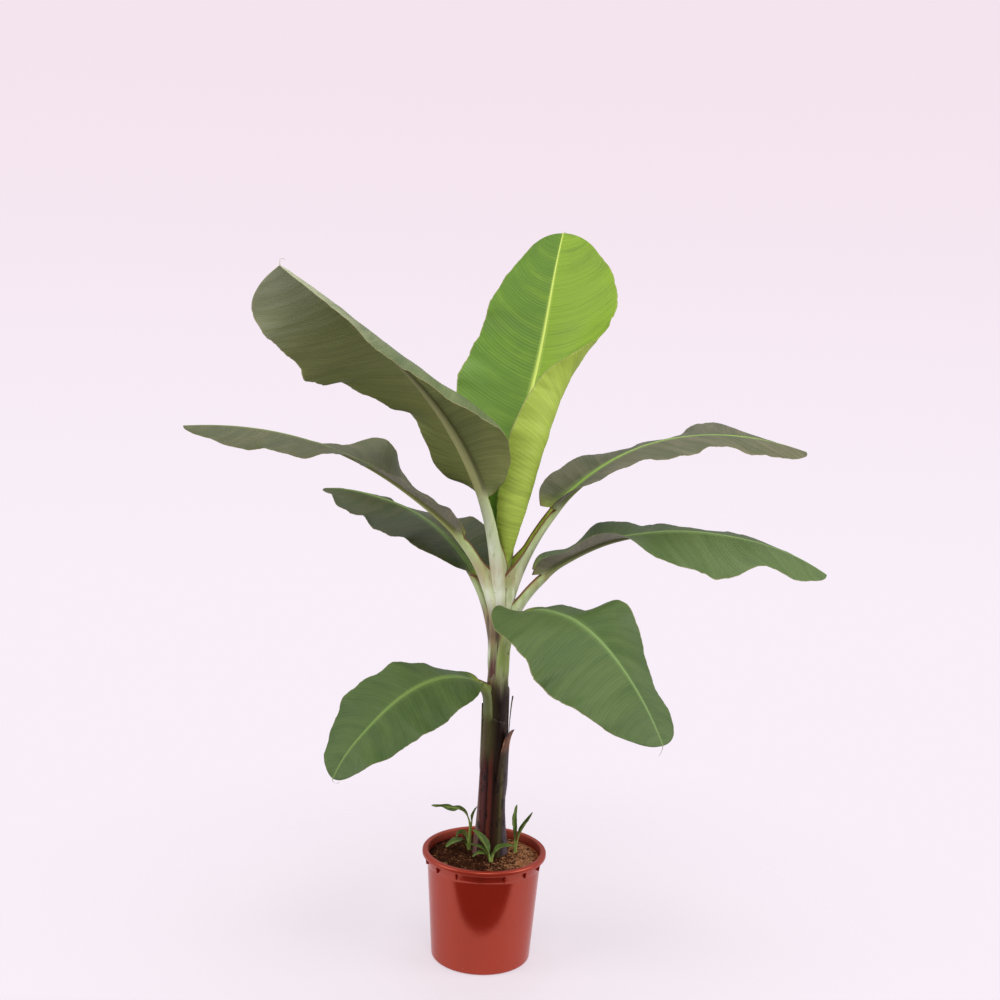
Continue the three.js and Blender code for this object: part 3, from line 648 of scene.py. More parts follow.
class Board:
    """A node tree that is being filled in."""

    def __init__(self, tree):
        self.tree = tree
        tree.nodes.clear()

    def add(self, kind, settings=None, inputs=None, output=0):
        node = self.tree.nodes.new(kind)
        for key, value in (settings or {}).items():
            setattr(node, key, value)
        for key, value in (inputs or {}).items():
            socket = pick_socket(node.inputs, key)
            if isinstance(value, Wire):
                self.tree.links.new(value.socket, socket)
            else:
                socket.default_value = value
        return Wire(self, pick_socket(node.outputs, output)) if len(node.outputs) else node

    def maths(self, operation, *values):
        return self.add("ShaderNodeMath", {"operation": operation}, dict(enumerate(values)))

    def mark(self, name):
        """A piece's own attribute, as a number, in a finish."""
        return self.add("ShaderNodeAttribute", {"attribute_name": name}, output="Fac")

    def named(self, name, kind="FLOAT"):
        """A piece's own attribute in a geometry tree."""
        return self.add(
            "GeometryNodeInputNamedAttribute", {"data_type": kind}, {"Name": name}, output="Attribute")

    def place(self, stretch=(1, 1, 1)):
        """Object coordinates, stretched."""
        where = self.add("ShaderNodeTexCoord", output="Object")
        return self.add("ShaderNodeMapping", inputs={"Vector": where, "Scale": stretch})

    def axis(self, vector, number):
        """A vector's x, y or z, for the number 0, 1 or 2."""
        return self.add("ShaderNodeSeparateXYZ", inputs={0: vector}, output=number)

    def vector(self, x, y=0.0, z=0.0):
        return self.add("ShaderNodeCombineXYZ", inputs={0: x, 1: y, 2: z})

    def vectors(self, operation, inputs, output=0):
        return self.add("ShaderNodeVectorMath", {"operation": operation}, inputs, output)

    def noise(self, vector, scale, detail=3.0, rough=0.5, twist=0.0):
        return self.add("ShaderNodeTexNoise", inputs={
            "Vector": vector, "Scale": scale, "Detail": detail, "Roughness": rough, "Distortion": twist,
        })

    def ramp(self, factor, stops):
        """A colour that runs through stops, each a place and a colour."""
        wire = self.add("ShaderNodeValToRGB", inputs={"Fac": factor})
        elements = wire.socket.node.color_ramp.elements
        while len(elements) > 1:
            elements.remove(elements[-1])
        for k, (place, colour) in enumerate(stops):
            element = elements.new(place) if k else elements[0]
            element.position = place
            element.color = (*colour, 1)
        return wire

    def blend(self, factor, a, b):
        """Two colours mixed."""
        ends = {
            key: value if isinstance(value, Wire) else (*value, 1)
            for key, value in (("A_Color", a), ("B_Color", b))
        }
        return self.add(
            "ShaderNodeMix", {"data_type": "RGBA", "clamp_factor": True},
            {"Factor_Float": factor, **ends}, output="Result_Color",
        )

    def coats(self, colour, *coats):
        """A colour with coats laid over it in turn, each a share and a colour."""
        for share, coat in coats:
            colour = self.blend(share, colour, coat)
        return colour

    def bump(self, height, distance, strength):
        return self.add("ShaderNodeBump", inputs={
            "Height": height, "Distance": distance, "Strength": strength,
        })

    def finish(self, **sockets):
        """The tree's one surface shader, from its sockets' values and links."""
        inputs = {key.replace("_", " "): value for key, value in sockets.items()}
        shader = self.add("ShaderNodeBsdfPrincipled", inputs=inputs)
        self.add("ShaderNodeOutputMaterial", inputs={"Surface": shader})


def new_finish(name):
    material = bpy.data.materials.new(name)
    material.use_nodes = True
    return material, Board(material.node_tree)


def toned(colour, amount):
    return tuple(c * amount for c in colour)


def stem_skin(b, crown=None):
    """The false stem's skin: maroon and brown below, olive higher up, then the pale crown, with painted
    highlights along its left and right edges.

    Gives the colour, the three noises in it, the place across the stem and the height.
    """
    x, height = b.axis(b.place(), 0), b.axis(b.place(), 2)
    streak = b.noise(b.place((1, 1, 0.07)), 120, 4, 0.62)
    broad = b.noise(b.place((1, 1, 0.12)), 34, 3, 0.5, 0.5)
    spots = b.noise(b.place((1, 1, 0.4)), 110, 3, 0.6)
    # 0 at the stem's left edge and 1 at its right edge
    from_middle = x - STEM_MIDDLE - (height - TRUNK["foot"] * MM) * TRUNK["lean"]
    side = from_middle * (1 / STEM_WIDTH) + 0.5 + (broad - 0.5) * 0.14
    # the first and last stops of this ramp and of the next are painted highlights along the stem's left and
    # right edges
    low = b.coats(
        b.ramp(side, [
            (0.0, (0.20, 0.100, 0.085)), (0.10, (0.110, 0.022, 0.018)), (0.20, (0.072, 0.012, 0.010)),
            (0.27, (0.020, 0.005, 0.005)), (0.33, (0.125, 0.024, 0.012)), (0.44, (0.095, 0.017, 0.009)),
            (0.50, (0.018, 0.006, 0.004)), (0.62, (0.036, 0.012, 0.005)), (0.74, (0.032, 0.021, 0.005)),
            (0.82, (0.080, 0.064, 0.015)), (0.89, (0.036, 0.024, 0.010)), (0.94, (0.048, 0.033, 0.042)),
            (1.0, (0.09, 0.07, 0.085)),
        ]),
        (streak.step(0.45, 0.8) * 0.55, (0.016, 0.005, 0.004)),
        (spots.step(0.56, 0.62) * 0.85, (0.006, 0.004, 0.003)),
    )
    middle = b.coats(
        b.ramp(side, [
            (0.0, (0.25, 0.21, 0.12)), (0.14, (0.115, 0.085, 0.036)), (0.26, (0.090, 0.085, 0.024)),
            (0.42, (0.052, 0.038, 0.011)), (0.58, (0.018, 0.008, 0.005)), (0.84, (0.022, 0.009, 0.006)),
            (1.0, (0.09, 0.065, 0.045)),
        ]),
        (streak.step(0.45, 0.8) * 0.4, (0.018, 0.006, 0.004)),
    )
    pale = b.blend((streak * 0.6 + broad * 0.5).step(0.44, 0.66), (0.17, 0.19, 0.040), (0.47, 0.48, 0.28))
    mottle = (streak * 0.75 + broad * 0.35 - (height - 0.58) * 1.6 - (side - 0.36) * 0.55).step(0.46, 0.64)
    high = b.coats(
        b.blend(mottle, pale, (0.11, 0.035, 0.034)),
        ((side + (streak - 0.5) * 0.3).step(0.78, 1.0) * 0.7, (0.10, 0.055, 0.016)),
    )
    drift = (broad - 0.5) * 0.10 + (streak - 0.5) * 0.05
    colour = b.coats(
        low,
        ((height + drift).step(0.375, 0.435), middle),
        ((height + drift * 1.6).step(0.515, 0.595), high),
    )
    if crown:
        stain = b.blend(streak.step(0.4, 0.7), crown, (0.20, 0.085, 0.05))
        stained = (broad * 0.9 + streak * 0.6).step(0.80, 1.0) * height.step(0.74, 0.66)
        colour = b.blend((height + drift).step(0.625, 0.700), colour, b.blend(stained, crown, stain))
    return colour, streak, broad, spots, side, height


def leaf_finish(name, tints, woody=True):
    """A leaf's skin: a waxy upper face, a dull underside, both with painted light and shade, the rib, the
    margin and the stalk.
    """
    material, b = new_finish(name)
    vein, share, rib, bladed, reach, half, climb = (
        b.mark(key) for key in ("vein", "share", "rib", "bladed", "reach", "half", "climb"))
    upper = b.mark("upper").step(0.35, 0.65)
    under, rib_under = tints["under"], tints["rib_under"]

    def veined(along_rib, to_margin, apart, detail, rough):
        """Noise that follows the side veins, with its own pattern on each half."""
        return b.noise(b.vector(vein * along_rib, share * to_margin, half * apart), 1.0, detail, rough)

    band, fine = veined(0.22, 0.55, 7, 4, 0.62), veined(2.6, 1.1, 7, 2, 0.5)
    pleat, scar = veined(0.8, 0.4, 5, 2, 0.6), veined(4.5, 3.5, 3, 2, 0.4).step(0.70, 0.78)
    patch = b.noise(b.place(), 11, 4, 0.55)
    vein_line = ((vein * (2 * math.pi) + math.pi / 2).sine() * 0.5 + 0.5) ** 4
    # painted light and shade: the upper face switches between its lit and its shaded colour in bands along
    # the veins and in patches, and the right half is painted lighter and the left half darker by sides
    sunlit = (band * 0.7 + patch * 0.35 + half * tints.get("sides", 0.02)).step(0.34, 0.74)
    # the rib is narrower above, and its flanks take its tint
    above = b.coats(
        b.blend(sunlit, tints["shade"], tints["lit"]),
        (vein_line * 0.14 * fine.step(0.25, 0.65), tints["rib"]),
        # painted shade in the pleats between the veins
        (pleat.step(0.54, 0.40) * 0.13, toned(tints["shade"], 0.55)),
        (scar * 0.22, (0.33, 0.36, 0.24)),
        (rib.step(2.6, 0.7) * 0.3, tints["rib"]),
        (rib.step(0.86, 0.62), tints["rib"]),
    )
    rib_tint = b.blend(climb.step(0.05, 0.6), rib_under, toned(rib_under, 0.6))
    below = b.coats(
        b.blend((band * 0.55 + fine * 0.5).step(0.35, 0.75), toned(under, 0.74), under),
        (vein_line * 0.30, toned(under, 0.6)),
        # painted shade in the pleats of the underside
        (pleat.step(0.52, 0.40) * 0.24, toned(under, 0.45)),
        (rib.step(1.35, 1.2), b.blend(rib.step(1.1, 0.5), toned(rib_under, 0.5), rib_tint)),
    )
    skin = b.blend(upper, below, above)
    # painted sheen in part: the leaf is made paler towards its tip
    if "tip" in tints:
        skin = b.blend((climb + (band - 0.5) * 0.3).step(0.72, 1.02), skin, tints["tip"])
    # dry margin, with brown spots where it has been bruised
    bruise = b.noise(b.vector(reach / 9, half * 3), 1.0, 2, 0.5).step(0.66, 0.74)
    bruise = bruise * share.step(0.95, 0.99)
    skin = b.coats(
        skin,
        (share.step(0.982, 0.993) * 0.6, (0.34, 0.31, 0.13)),
        (bruise * 0.75, (0.15, 0.08, 0.03)),
    )
    streak, stem = fine, tints["stalk"]
    if woody:
        stem, streak = stalk_skin(b, tints, patch, share, upper)
    colour = b.blend(bladed.step(0.15, 0.95), stem, skin)

    blotch = (patch * 0.5 + fine * 0.5).step(0.35, 0.7)
    height = fine * 0.6 * bladed + vein_line * 0.25 * bladed + streak * 0.5 * (1 - bladed)
    b.finish(Base_Color=colour, Roughness=0.50 - upper * 0.04 + blotch * 0.1,
             Normal=b.bump(height, 0.0006, 0.6), Specular_IOR_Level=0.28)
    return material


def stalk_skin(b, tints, patch, share, upper):
    """The colour and the streaks of a stalk and its sheath."""
    hem, up = b.mark("hem"), b.mark("up_stalk")
    green = b.blend(up.step(0.85, 1.30), tints["stalk"], tints["stalk_end"])
    stem, streak, broad, spots, side, height = stem_skin(b, green)
    powder = (patch * 0.4 + streak * 0.7).step(0.47, 0.68) * up.step(0, 0.3) * up.step(1.0, 0.6)
    lines = (streak * 0.6 + patch * 0.5 - share.step(0.45, 1.0) * 0.14).step(0.53, 0.40) * up.step(0.02, 0.2)
    flank = hem.step(17, 4) * up.step(0.05, 0.3) * (streak * 0.5 + patch * 0.5).step(0.30, 0.55)
    rust = (broad * 0.6 + streak * 0.5).step(0.46, 0.62)
    rust = rust * height.step(0.815, 0.765) * height.step(0.725, 0.750)
    torn = (broad * 0.9 + streak * 0.7 - (side - 0.34) * 0.7).step(0.60, 0.78)
    torn = torn * height.step(0.725, 0.665) * height.step(0.60, 0.64)
    stem = b.coats(
        stem,
        ((up + (streak - 0.5) * 0.6).step(-0.15, 0.30), green),
        (powder * tints.get("bloom", 0.6), (0.84, 0.87, 0.76)),
        (lines * 0.6, (0.25, 0.35, 0.06)),
        (flank * 0.55, (0.27, 0.36, 0.075)),
        (rust * 0.5, (0.34, 0.21, 0.065)),
        (torn * 0.85, b.blend(streak.step(0.42, 0.6), (0.30, 0.17, 0.08), (0.08, 0.030, 0.018))),
        (spots.step(0.66, 0.69) * up.step(0.9, 0.3) * 0.8, (0.10, 0.04, 0.02)),
        (upper, b.blend(streak.step(0.4, 0.65), (0.26, 0.33, 0.035), (0.38, 0.47, 0.07))),
        (hem.step(2.6, 1.2) * 0.9, (0.17, 0.040, 0.020)),
    )
    return stem, streak


def trunk_finish():
    """The old sheaths round the stem, with their dry edges and ends."""
    material, b = new_finish("trunk_skin")
    lap, dry, pale_mark = b.mark("lap"), b.mark("dry"), b.mark("pale")
    colour, streak, _, spots, _, height = stem_skin(b)
    edge = lap.step(0.955, 0.99).most(lap.step(0.04, 0.01))
    husk = b.coats(
        b.blend(streak.step(0.35, 0.7), (0.045, 0.016, 0.009), (0.22, 0.085, 0.040)),
        (spots.step(0.52, 0.64) * 0.5, (0.34, 0.20, 0.11)),
    )
    dust = b.noise(b.place(), 60, 4, 0.6).step(0.5, 0.75) * height.step(0.245, 0.205)
    colour = b.coats(
        colour,
        (edge * 0.8, (0.035, 0.013, 0.009)),
        (pale_mark * 0.85, b.blend(streak.step(0.4, 0.7), (0.34, 0.36, 0.17), (0.60, 0.60, 0.46))),
        ((dry + (streak - 0.5) * 0.5 * dry).step(0.3, 0.7), husk),
        (dust * 0.6, (0.09, 0.035, 0.018)),
    )
    b.finish(Base_Color=colour, Roughness=streak * 0.2 + 0.24 + spots * 0.12 + dry * 0.3,
             Normal=b.bump(streak * 0.8 + spots * 0.3, 0.0012, 0.6), Specular_IOR_Level=0.34)
    return material


def pot_finish():
    """Terracotta-coloured plastic with a soft gloss, scuffed low down and dusty inside."""
    material, b = new_finish("pot_plastic")
    inside = b.mark("inside")
    grain = b.noise(b.place(), 900, 2, 0.5)
    cloud = b.noise(b.place(), 9, 4, 0.5)
    scuff = b.noise(b.place((1, 1, 2.5)), 70, 5, 0.7)
    height = b.axis(b.place(), 2)
    worn = scuff.step(0.6, 0.72) * (height.step(0.05, 0.0) * 0.9 + height.step(0.2, 0.216) * 0.5)
    dirt = inside * (cloud * 0.5 + scuff * 0.6).step(0.4, 0.7)
    colour = b.coats(
        b.blend(cloud.step(0.3, 0.7), (0.215, 0.0110, 0.0046), (0.245, 0.0135, 0.0056)),
        (worn * 0.5, (0.48, 0.10, 0.07)),
        (dirt * 0.7, (0.10, 0.03, 0.016)),
    )
    rough = 0.10 + scuff * 0.10 + worn * 0.2 + inside * 0.25 + height.step(0.203, 0.207) * 0.20
    b.finish(Base_Color=colour, Roughness=rough, Normal=b.bump(grain * 0.3 + scuff * 0.15, 0.0004, 0.3),
             Specular_IOR_Level=1.0, IOR=1.9, Specular_Tint=(1.0, 0.28, 0.18, 1))
    return material


def soil_finish(name, dark, pale):
    """Damp soil with dry crumbs, and painted light that makes it paler towards the right."""
    material, b = new_finish(name)
    grain, clump = b.noise(b.place(), 240, 4, 0.7), b.noise(b.place(), 62, 4, 0.6)
    # painted light: more pale crumbs towards the right
    sunny = b.axis(b.place(), 0).step(-0.02, 0.10)
    colour = b.blend((grain * 0.8 + clump * 0.45 + sunny * 0.16).step(0.65, 0.84), dark, pale)
    b.finish(Base_Color=colour, Roughness=0.85 + grain * 0.12,
             Normal=b.bump(grain + clump * 0.7, 0.004, 1.0), Specular_IOR_Level=0.05)
    return material


# ------------------------------------------------------------------ geometry trees


def new_tree(name, sizes):
    """A geometry tree with a mesh and a finish as inputs, and one named input for each size."""
    tree = bpy.data.node_groups.new(name, "GeometryNodeTree")
    board = Board(tree)
    tree.interface.new_socket("Geometry", in_out="OUTPUT", socket_type="NodeSocketGeometry")
    tree.interface.new_socket("Geometry", in_out="INPUT", socket_type="NodeSocketGeometry")
    tree.interface.new_socket("Finish", in_out="INPUT", socket_type="NodeSocketMaterial")
    for key, value in sizes.items():
        kind = "NodeSocketInt" if isinstance(value, int) else "NodeSocketFloat"
        tree.interface.new_socket(key, in_out="INPUT", socket_type=kind).default_value = value
    entry = board.add("NodeGroupInput")
    inputs = {s.name: Wire(board, s) for s in entry.socket.node.outputs if s.name}
    return tree, board, inputs


def end_tree(board, inputs, geometry):
    """Realizes the instances, dresses all in the finish and gives the tree."""
    real = board.add("GeometryNodeRealizeInstances", inputs={"Geometry": geometry})
    dressed = board.add("GeometryNodeSetMaterial", inputs={"Geometry": real, "Material": inputs["Finish"]})
    board.add("NodeGroupOutput", inputs={"Geometry": dressed})
    return board.tree


def pushed(b, geometry, mark, amount):
    """Moves points by an amount along the direction in one of their marks."""
    way = b.vectors("SCALE", {0: b.named(mark, "FLOAT_VECTOR"), "Scale": amount})
    return b.add("GeometryNodeSetPosition", inputs={"Geometry": geometry, "Offset": way})


def vein_tree():
    """Raises the side veins and the soft pleats between them off a leaf's sheet."""
    _, b, inputs = new_tree("leaf_veins", {
        "Vein depth": 0.0002, "Pleat depth": 0.0008, "Veins in a pleat": 5.0, "Seed": 3.0,
    })
    vein, share, bladed, half = (b.named(key) for key in ("vein", "share", "bladed", "half"))
    crest = (vein * (2 * math.pi)).sine() * inputs["Vein depth"]
    spot = b.vector(vein / inputs["Veins in a pleat"], share * 0.6, half * 5 + inputs["Seed"])
    swell = (b.noise(spot, 1.0, 1.5, 0.4) - 0.5) * 2 * inputs["Pleat depth"]
    fade = bladed * share.step(0.02, 0.2)
    amount = (crest * share.step(1.0, 0.9) + swell) * fade
    return end_tree(b, inputs, pushed(b, inputs["Geometry"], "lift_way", amount))


def trunk_tree():
    """Wraps a plain tube in sheaths: each laps over the next along a steep spiral edge."""
    _, b, inputs = new_tree("trunk_wraps", {
        "Sheaths": 3, "Lap height": 0.0022, "Turn": 1.1, "Swell": 0.0016,
    })
    where = b.add("GeometryNodeInputPosition")
    noise = b.noise(b.vectors("MULTIPLY", {0: where, 1: (1, 1, 0.12)}), 28.0, 2.0)
    spiral = b.named("turn") * inputs["Sheaths"] + b.named("climb") * inputs["Turn"] + (noise - 0.5) * 0.22
    lap = b.maths("FRACT", spiral)
    stored = b.add("GeometryNodeStoreNamedAttribute", {"data_type": "FLOAT", "domain": "POINT"}, {
        "Geometry": inputs["Geometry"], "Name": "lap", "Value": lap,
    })
    amount = (lap ** 0.8 - 0.5) * inputs["Lap height"] + (noise - 0.5) * inputs["Swell"]
    return end_tree(b, inputs, pushed(b, stored, "out_way", amount))


def fin_tree():
    """Stands the short stiffening fins under the pot's rim, evenly round it."""
    _, b, inputs = new_tree("pot_fins", {
        "Fins": 15, "First angle": 0.0, "Radius": 0.1, "Reach": 0.01, "Thickness": 0.002,
        "Height": 0.013, "Top": 0.2,
    })
    fin = b.add("GeometryNodeMeshCube", inputs={
        "Size": b.vector(inputs["Reach"], inputs["Thickness"], inputs["Height"]),
        "Vertices X": 5, "Vertices Y": 3, "Vertices Z": 6,
    }, output="Mesh")
    # the outer edge slopes in towards the foot
    where = b.add("GeometryNodeInputPosition")
    low = b.axis(where, 2) / inputs["Height"] - 0.5
    wide = b.axis(where, 0) / inputs["Reach"] + 0.5
    slope = b.vector(low * wide * inputs["Reach"] * 0.3)
    fin = b.add("GeometryNodeSetPosition", inputs={"Geometry": fin, "Offset": slope})
    ring = b.add("GeometryNodeMeshCircle", inputs={"Vertices": inputs["Fins"], "Radius": inputs["Radius"]})
    angle = b.add("GeometryNodeInputIndex") * (2 * math.pi) / inputs["Fins"]
    fins = b.add("GeometryNodeInstanceOnPoints", inputs={
        "Points": ring, "Instance": fin, "Rotation": b.vector(0.0, 0.0, angle),
    })
    turned_fins = b.add("GeometryNodeTransform", inputs={
        "Geometry": fins, "Translation": b.vector(0.0, 0.0, inputs["Top"] - inputs["Height"] / 2),
        "Rotation": b.vector(0.0, 0.0, inputs["First angle"]),
    })
    joined = b.add("GeometryNodeJoinGeometry")
    for part in (inputs["Geometry"], turned_fins):
        b.tree.links.new(part.socket, joined.socket.node.inputs[0])
    return end_tree(b, inputs, joined)


def litter_tree():
    """Scatters bent fibres over the soil."""
    _, b, inputs = new_tree("soil_litter", {
        "Fibres": 2600, "Length": 0.012, "Seed": 11, "Reach": 0.098,
    })
    # only on the top, and not against the pot's wall
    facing_up = b.axis(b.add("GeometryNodeInputNormal"), 2)
    flat_place = b.vectors("MULTIPLY", {0: b.add("GeometryNodeInputPosition"), 1: (1, 1, 0)})
    off_centre = b.vectors("LENGTH", {0: flat_place}, "Value")
    inner = b.maths("LESS_THAN", off_centre, inputs["Reach"])
    level = b.add("FunctionNodeCompare", {"data_type": "FLOAT", "operation": "GREATER_THAN"}, {
        0: facing_up * inner, 1: 0.5})
    points = b.add("GeometryNodeDistributePointsOnFaces", {"distribute_method": "RANDOM"}, {
        "Mesh": inputs["Geometry"], "Selection": level, "Density": inputs["Fibres"] / SOIL_AREA,
        "Seed": inputs["Seed"],
    })
    line = b.add("GeometryNodeCurveQuadraticBezier", inputs={
        "Resolution": 5, "Start": (-0.5, 0, 0), "Middle": (0.1, 0.35, 0.16), "End": (0.5, -0.05, 0.02),
    })
    thread = b.add("GeometryNodeCurvePrimitiveCircle", {"mode": "RADIUS"}, {"Resolution": 4, "Radius": 0.075})
    strand = b.add("GeometryNodeCurveToMesh", inputs={
        "Curve": line, "Profile Curve": thread, "Fill Caps": True,
    })

    def chance(low, high, seed, kind="FLOAT", mark="_001"):
        return b.add("FunctionNodeRandomValue", {"data_type": kind}, {
            "Min" + mark: low, "Max" + mark: high, "Seed": seed}, output="Value" + mark)

    size = chance(0.35, 1.25, 4) * inputs["Length"]
    placed = b.add("GeometryNodeInstanceOnPoints", inputs={
        "Points": points, "Instance": strand,
        "Rotation": chance((-0.3, -0.3, 0.0), (0.3, 0.3, 6.28), 5, "FLOAT_VECTOR", ""),
        "Scale": b.vector(size, size * chance(0.3, 1.0, 6), size * chance(0.6, 1.4, 7)),
    })
    return end_tree(b, inputs, placed)


def grown(name, mesh, tree, finish, sizes=None):
    """A mesh as a tree leaves it, as an object with a plain mesh of its own."""
    raw = bpy.data.objects.new(name + "_raw", mesh)
    bpy.context.collection.objects.link(raw)
    modifier = raw.modifiers.new("grow", "NODES")
    modifier.node_group = tree
    values = {"Finish": finish, **(sizes or {})}
    for socket in tree.interface.items_tree:
        if socket.in_out == "INPUT" and socket.name in values:
            modifier[socket.identifier] = values[socket.name]
    graph = bpy.context.evaluated_depsgraph_get()
    result = bpy.data.meshes.new_from_object(
        raw.evaluated_get(graph), preserve_all_data_layers=True, depsgraph=graph)
    bpy.data.objects.remove(raw)
    return shown(name, result, finish)


def shown(name, mesh, finish):
    """An object at the origin for a finished mesh."""
    mesh.name = name
    if not mesh.materials:
        mesh.materials.append(finish)
    piece = bpy.data.objects.new(name, mesh)
    bpy.context.collection.objects.link(piece)
    return piece


def seat(piece, slot, *nodes):
    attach(piece, BODY)
    if nodes:
        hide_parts(*nodes)


# ------------------------------------------------------------------ settings


def size_of(name, text, default):
    return bpy.props.FloatProperty(
        name=name, description=text, default=default, min=0, unit="LENGTH", precision=5
    )


def count_of(name, text, default, low):
    return bpy.props.IntProperty(name=name, description=text, default=default, min=low)


def tint_of(name, text, default):
    return bpy.props.FloatVectorProperty(
        name=name, description=text, default=default, size=3, min=0, max=1, subtype="COLOR"
    )


class StageSettings(bpy.types.PropertyGroup):
    """The camera, the lights and the floor."""

    lens: bpy.props.FloatProperty(
        name="Lens", description="Focal length on a 36 mm sensor", default=54.3, unit="CAMERA")
    pitch: bpy.props.FloatProperty(
        name="Pitch", description="How far the camera looks down", default=math.radians(9), subtype="ANGLE")
    roll: bpy.props.FloatProperty(
        name="Roll", description="How far the camera leans", default=math.radians(2.33), subtype="ANGLE")
    sky: tint_of("Background", "Colour that stands behind the plant", (0.945, 0.865, 0.950))
    sky_top: tint_of("High background", "Its colour higher up", (0.905, 0.775, 0.850))
    floor: tint_of("Floor", "Colour of the floor", (0.30, 0.275, 0.29))
    floor_glow: tint_of("Floor glow", "Light that the floor passes on from below", (0.55, 0.505, 0.545))


class LeafSettings(bpy.types.PropertyGroup):
    """The relief of the leaves."""

    vein_depth: size_of("Vein depth", "How far each side vein stands out", 0.0002)
    pleat_depth: size_of("Pleat depth", "How far the blade swells between bundles of veins", 0.0010)
    veins_in_pleat: bpy.props.FloatProperty(
        name="Veins in a pleat", description="Number of side veins that one swelling spans", default=5)


class TrunkSettings(bpy.types.PropertyGroup):
    """The wraps of the false stem."""

    sheaths: count_of("Sheaths", "Sheath edges round the trunk", 3, 1)
    lap_height: size_of("Lap height", "Height of the step where one sheath laps over the next", 0.0024)
    swell: size_of("Swell", "Unevenness of the trunk's surface", 0.0020)


class PotSettings(bpy.types.PropertyGroup):
    """The pot and its soil."""

    fins: count_of("Fins", "Fins under the rim", 15, 3)
    fin_height: size_of("Fin height", "Height of a fin", 0.015)
    fin_thickness: size_of("Fin thickness", "Thickness of a fin", 0.002)
    fibres: count_of("Fibres", "Fibres that lie on the soil", 4000, 0)
    fibre_length: size_of("Fibre length", "Length of a middling fibre", 0.011)
    soil_dark: tint_of("Dark soil", "Colour of the damp soil", (0.007, 0.0018, 0.0009))
    soil_pale: tint_of("Pale soil", "Colour of its dry crumbs", (0.46, 0.13, 0.048))


# ------------------------------------------------------------------ operators

# The stage, in metres; the camera's sensor is in millimetres.
CAMERA_AT = (0.003, -2.790, 1.345)
SENSOR = 36
LIGHTS_AIM = (0, 0, 0.75)
FLOOR_RADIUS = 1.35
CARD = {"half_width": 1.1, "near": -3, "far": -0.235, "height": 0.001}


class BANANA_OT_stage(bpy.types.Operator):
    """Sets the camera, the lights and the floor"""

    bl_idname = "banana.stage"
    bl_label = "Stage"

    def execute(self, context):
        settings = context.scene.banana_stage
        camera = bpy.data.objects.new("camera", bpy.data.cameras.new("camera"))
        context.collection.objects.link(camera)
        camera.data.sensor_width = SENSOR
        camera.data.lens = settings.lens
        camera.matrix_world = (
            Matrix.Translation(CAMERA_AT)
            @ Matrix.Rotation(math.pi / 2 - settings.pitch, 4, "X")
            @ Matrix.Rotation(settings.roll, 4, "Z")
        )
        context.scene.camera = camera
        context.scene.view_settings.view_transform = "Standard"
        for name, place, size, watts, tint in (
            ("left_box", (-2.6, -1.0, 1.7), 1.9, 44, (1, 0.97, 1)),
            ("right_box", (2.7, -0.8, 1.6), 2.0, 50, (1, 0.97, 1)),
            ("front_box", (0.2, -2.3, 3.3), 1.6, 50, (1, 0.99, 0.98)),
            ("top_box", (0.0, 0.5, 3.2), 2.0, 26, (1, 1, 1)),
        ):
            lamp = bpy.data.objects.new(name, bpy.data.lights.new(name, "AREA"))
            context.collection.objects.link(lamp)
            lamp.data.size, lamp.data.energy, lamp.data.color = size, watts, tint
            lamp.location = place
            aim = Vector(LIGHTS_AIM) - Vector(place)
            lamp.rotation_mode = "QUATERNION"
            lamp.rotation_quaternion = aim.to_track_quat("-Z", "Y")
            lamp.visible_camera = False
        world = bpy.data.worlds.new("studio")
        world.use_nodes = True
        context.scene.world = world
        b = Board(world.node_tree)
        way = b.add("ShaderNodeTexCoord", output="Generated")
        back, up = b.axis(way, 1), b.axis(way, 2)
        wall = b.blend(up.step(-0.22, 0.15), tuple(settings.sky), tuple(settings.sky_top))
        # the walls are white at the back and sides, and the room is dark in front
        seen = b.add("ShaderNodeLightPath", output="Is Camera Ray")
        glossy = b.add("ShaderNodeLightPath", output="Is Glossy Ray")
        gloss = back.step(-0.45, 0.1) * 0.50 + 0.05 + up.step(0.2, 0.9) * 0.12
        room = gloss * glossy + (1 - glossy) * 0.50
        glow = b.add("ShaderNodeBackground", inputs={
            "Color": b.blend(seen, (0.97, 0.94, 0.98), wall), "Strength": seen + (1 - seen) * room,
        })
        b.add("ShaderNodeOutputWorld", inputs={"Surface": glow})

        finish, b = new_finish("floor")
        # it fades out towards its edge
        fade = b.vectors("LENGTH", {0: b.place()}, "Value").step(1.25, 0.35)
        b.finish(Base_Color=(*settings.floor, 1), Roughness=0.6, Specular_IOR_Level=0.2,
                 Emission_Color=(*settings.floor_glow, 1), Emission_Strength=1.0, Alpha=fade)
        # a dark card ahead of the plant keeps the gloss on the pot's front deep
        half, near, far, height = CARD.values()
        corners = [(-half, near, height), (half, near, height), (half, far, height), (-half, far, height)]
        felt, b = new_finish("dark_felt")
        b.finish(Base_Color=(0.01, 0.01, 0.01, 1), Roughness=0.9)
        flag = shown("dark_card", plate("dark_card", corners), felt)
        flag.visible_camera = flag.visible_diffuse = flag.visible_shadow = False
        turns = np.linspace(0, 2 * math.pi, 97)[:-1]
        ring = [(FLOOR_RADIUS * math.cos(a), FLOOR_RADIUS * math.sin(a), -0.0005) for a in turns]
        mesh = plate("floor", ring)
        shown("floor", mesh, finish)
        return {"FINISHED"}


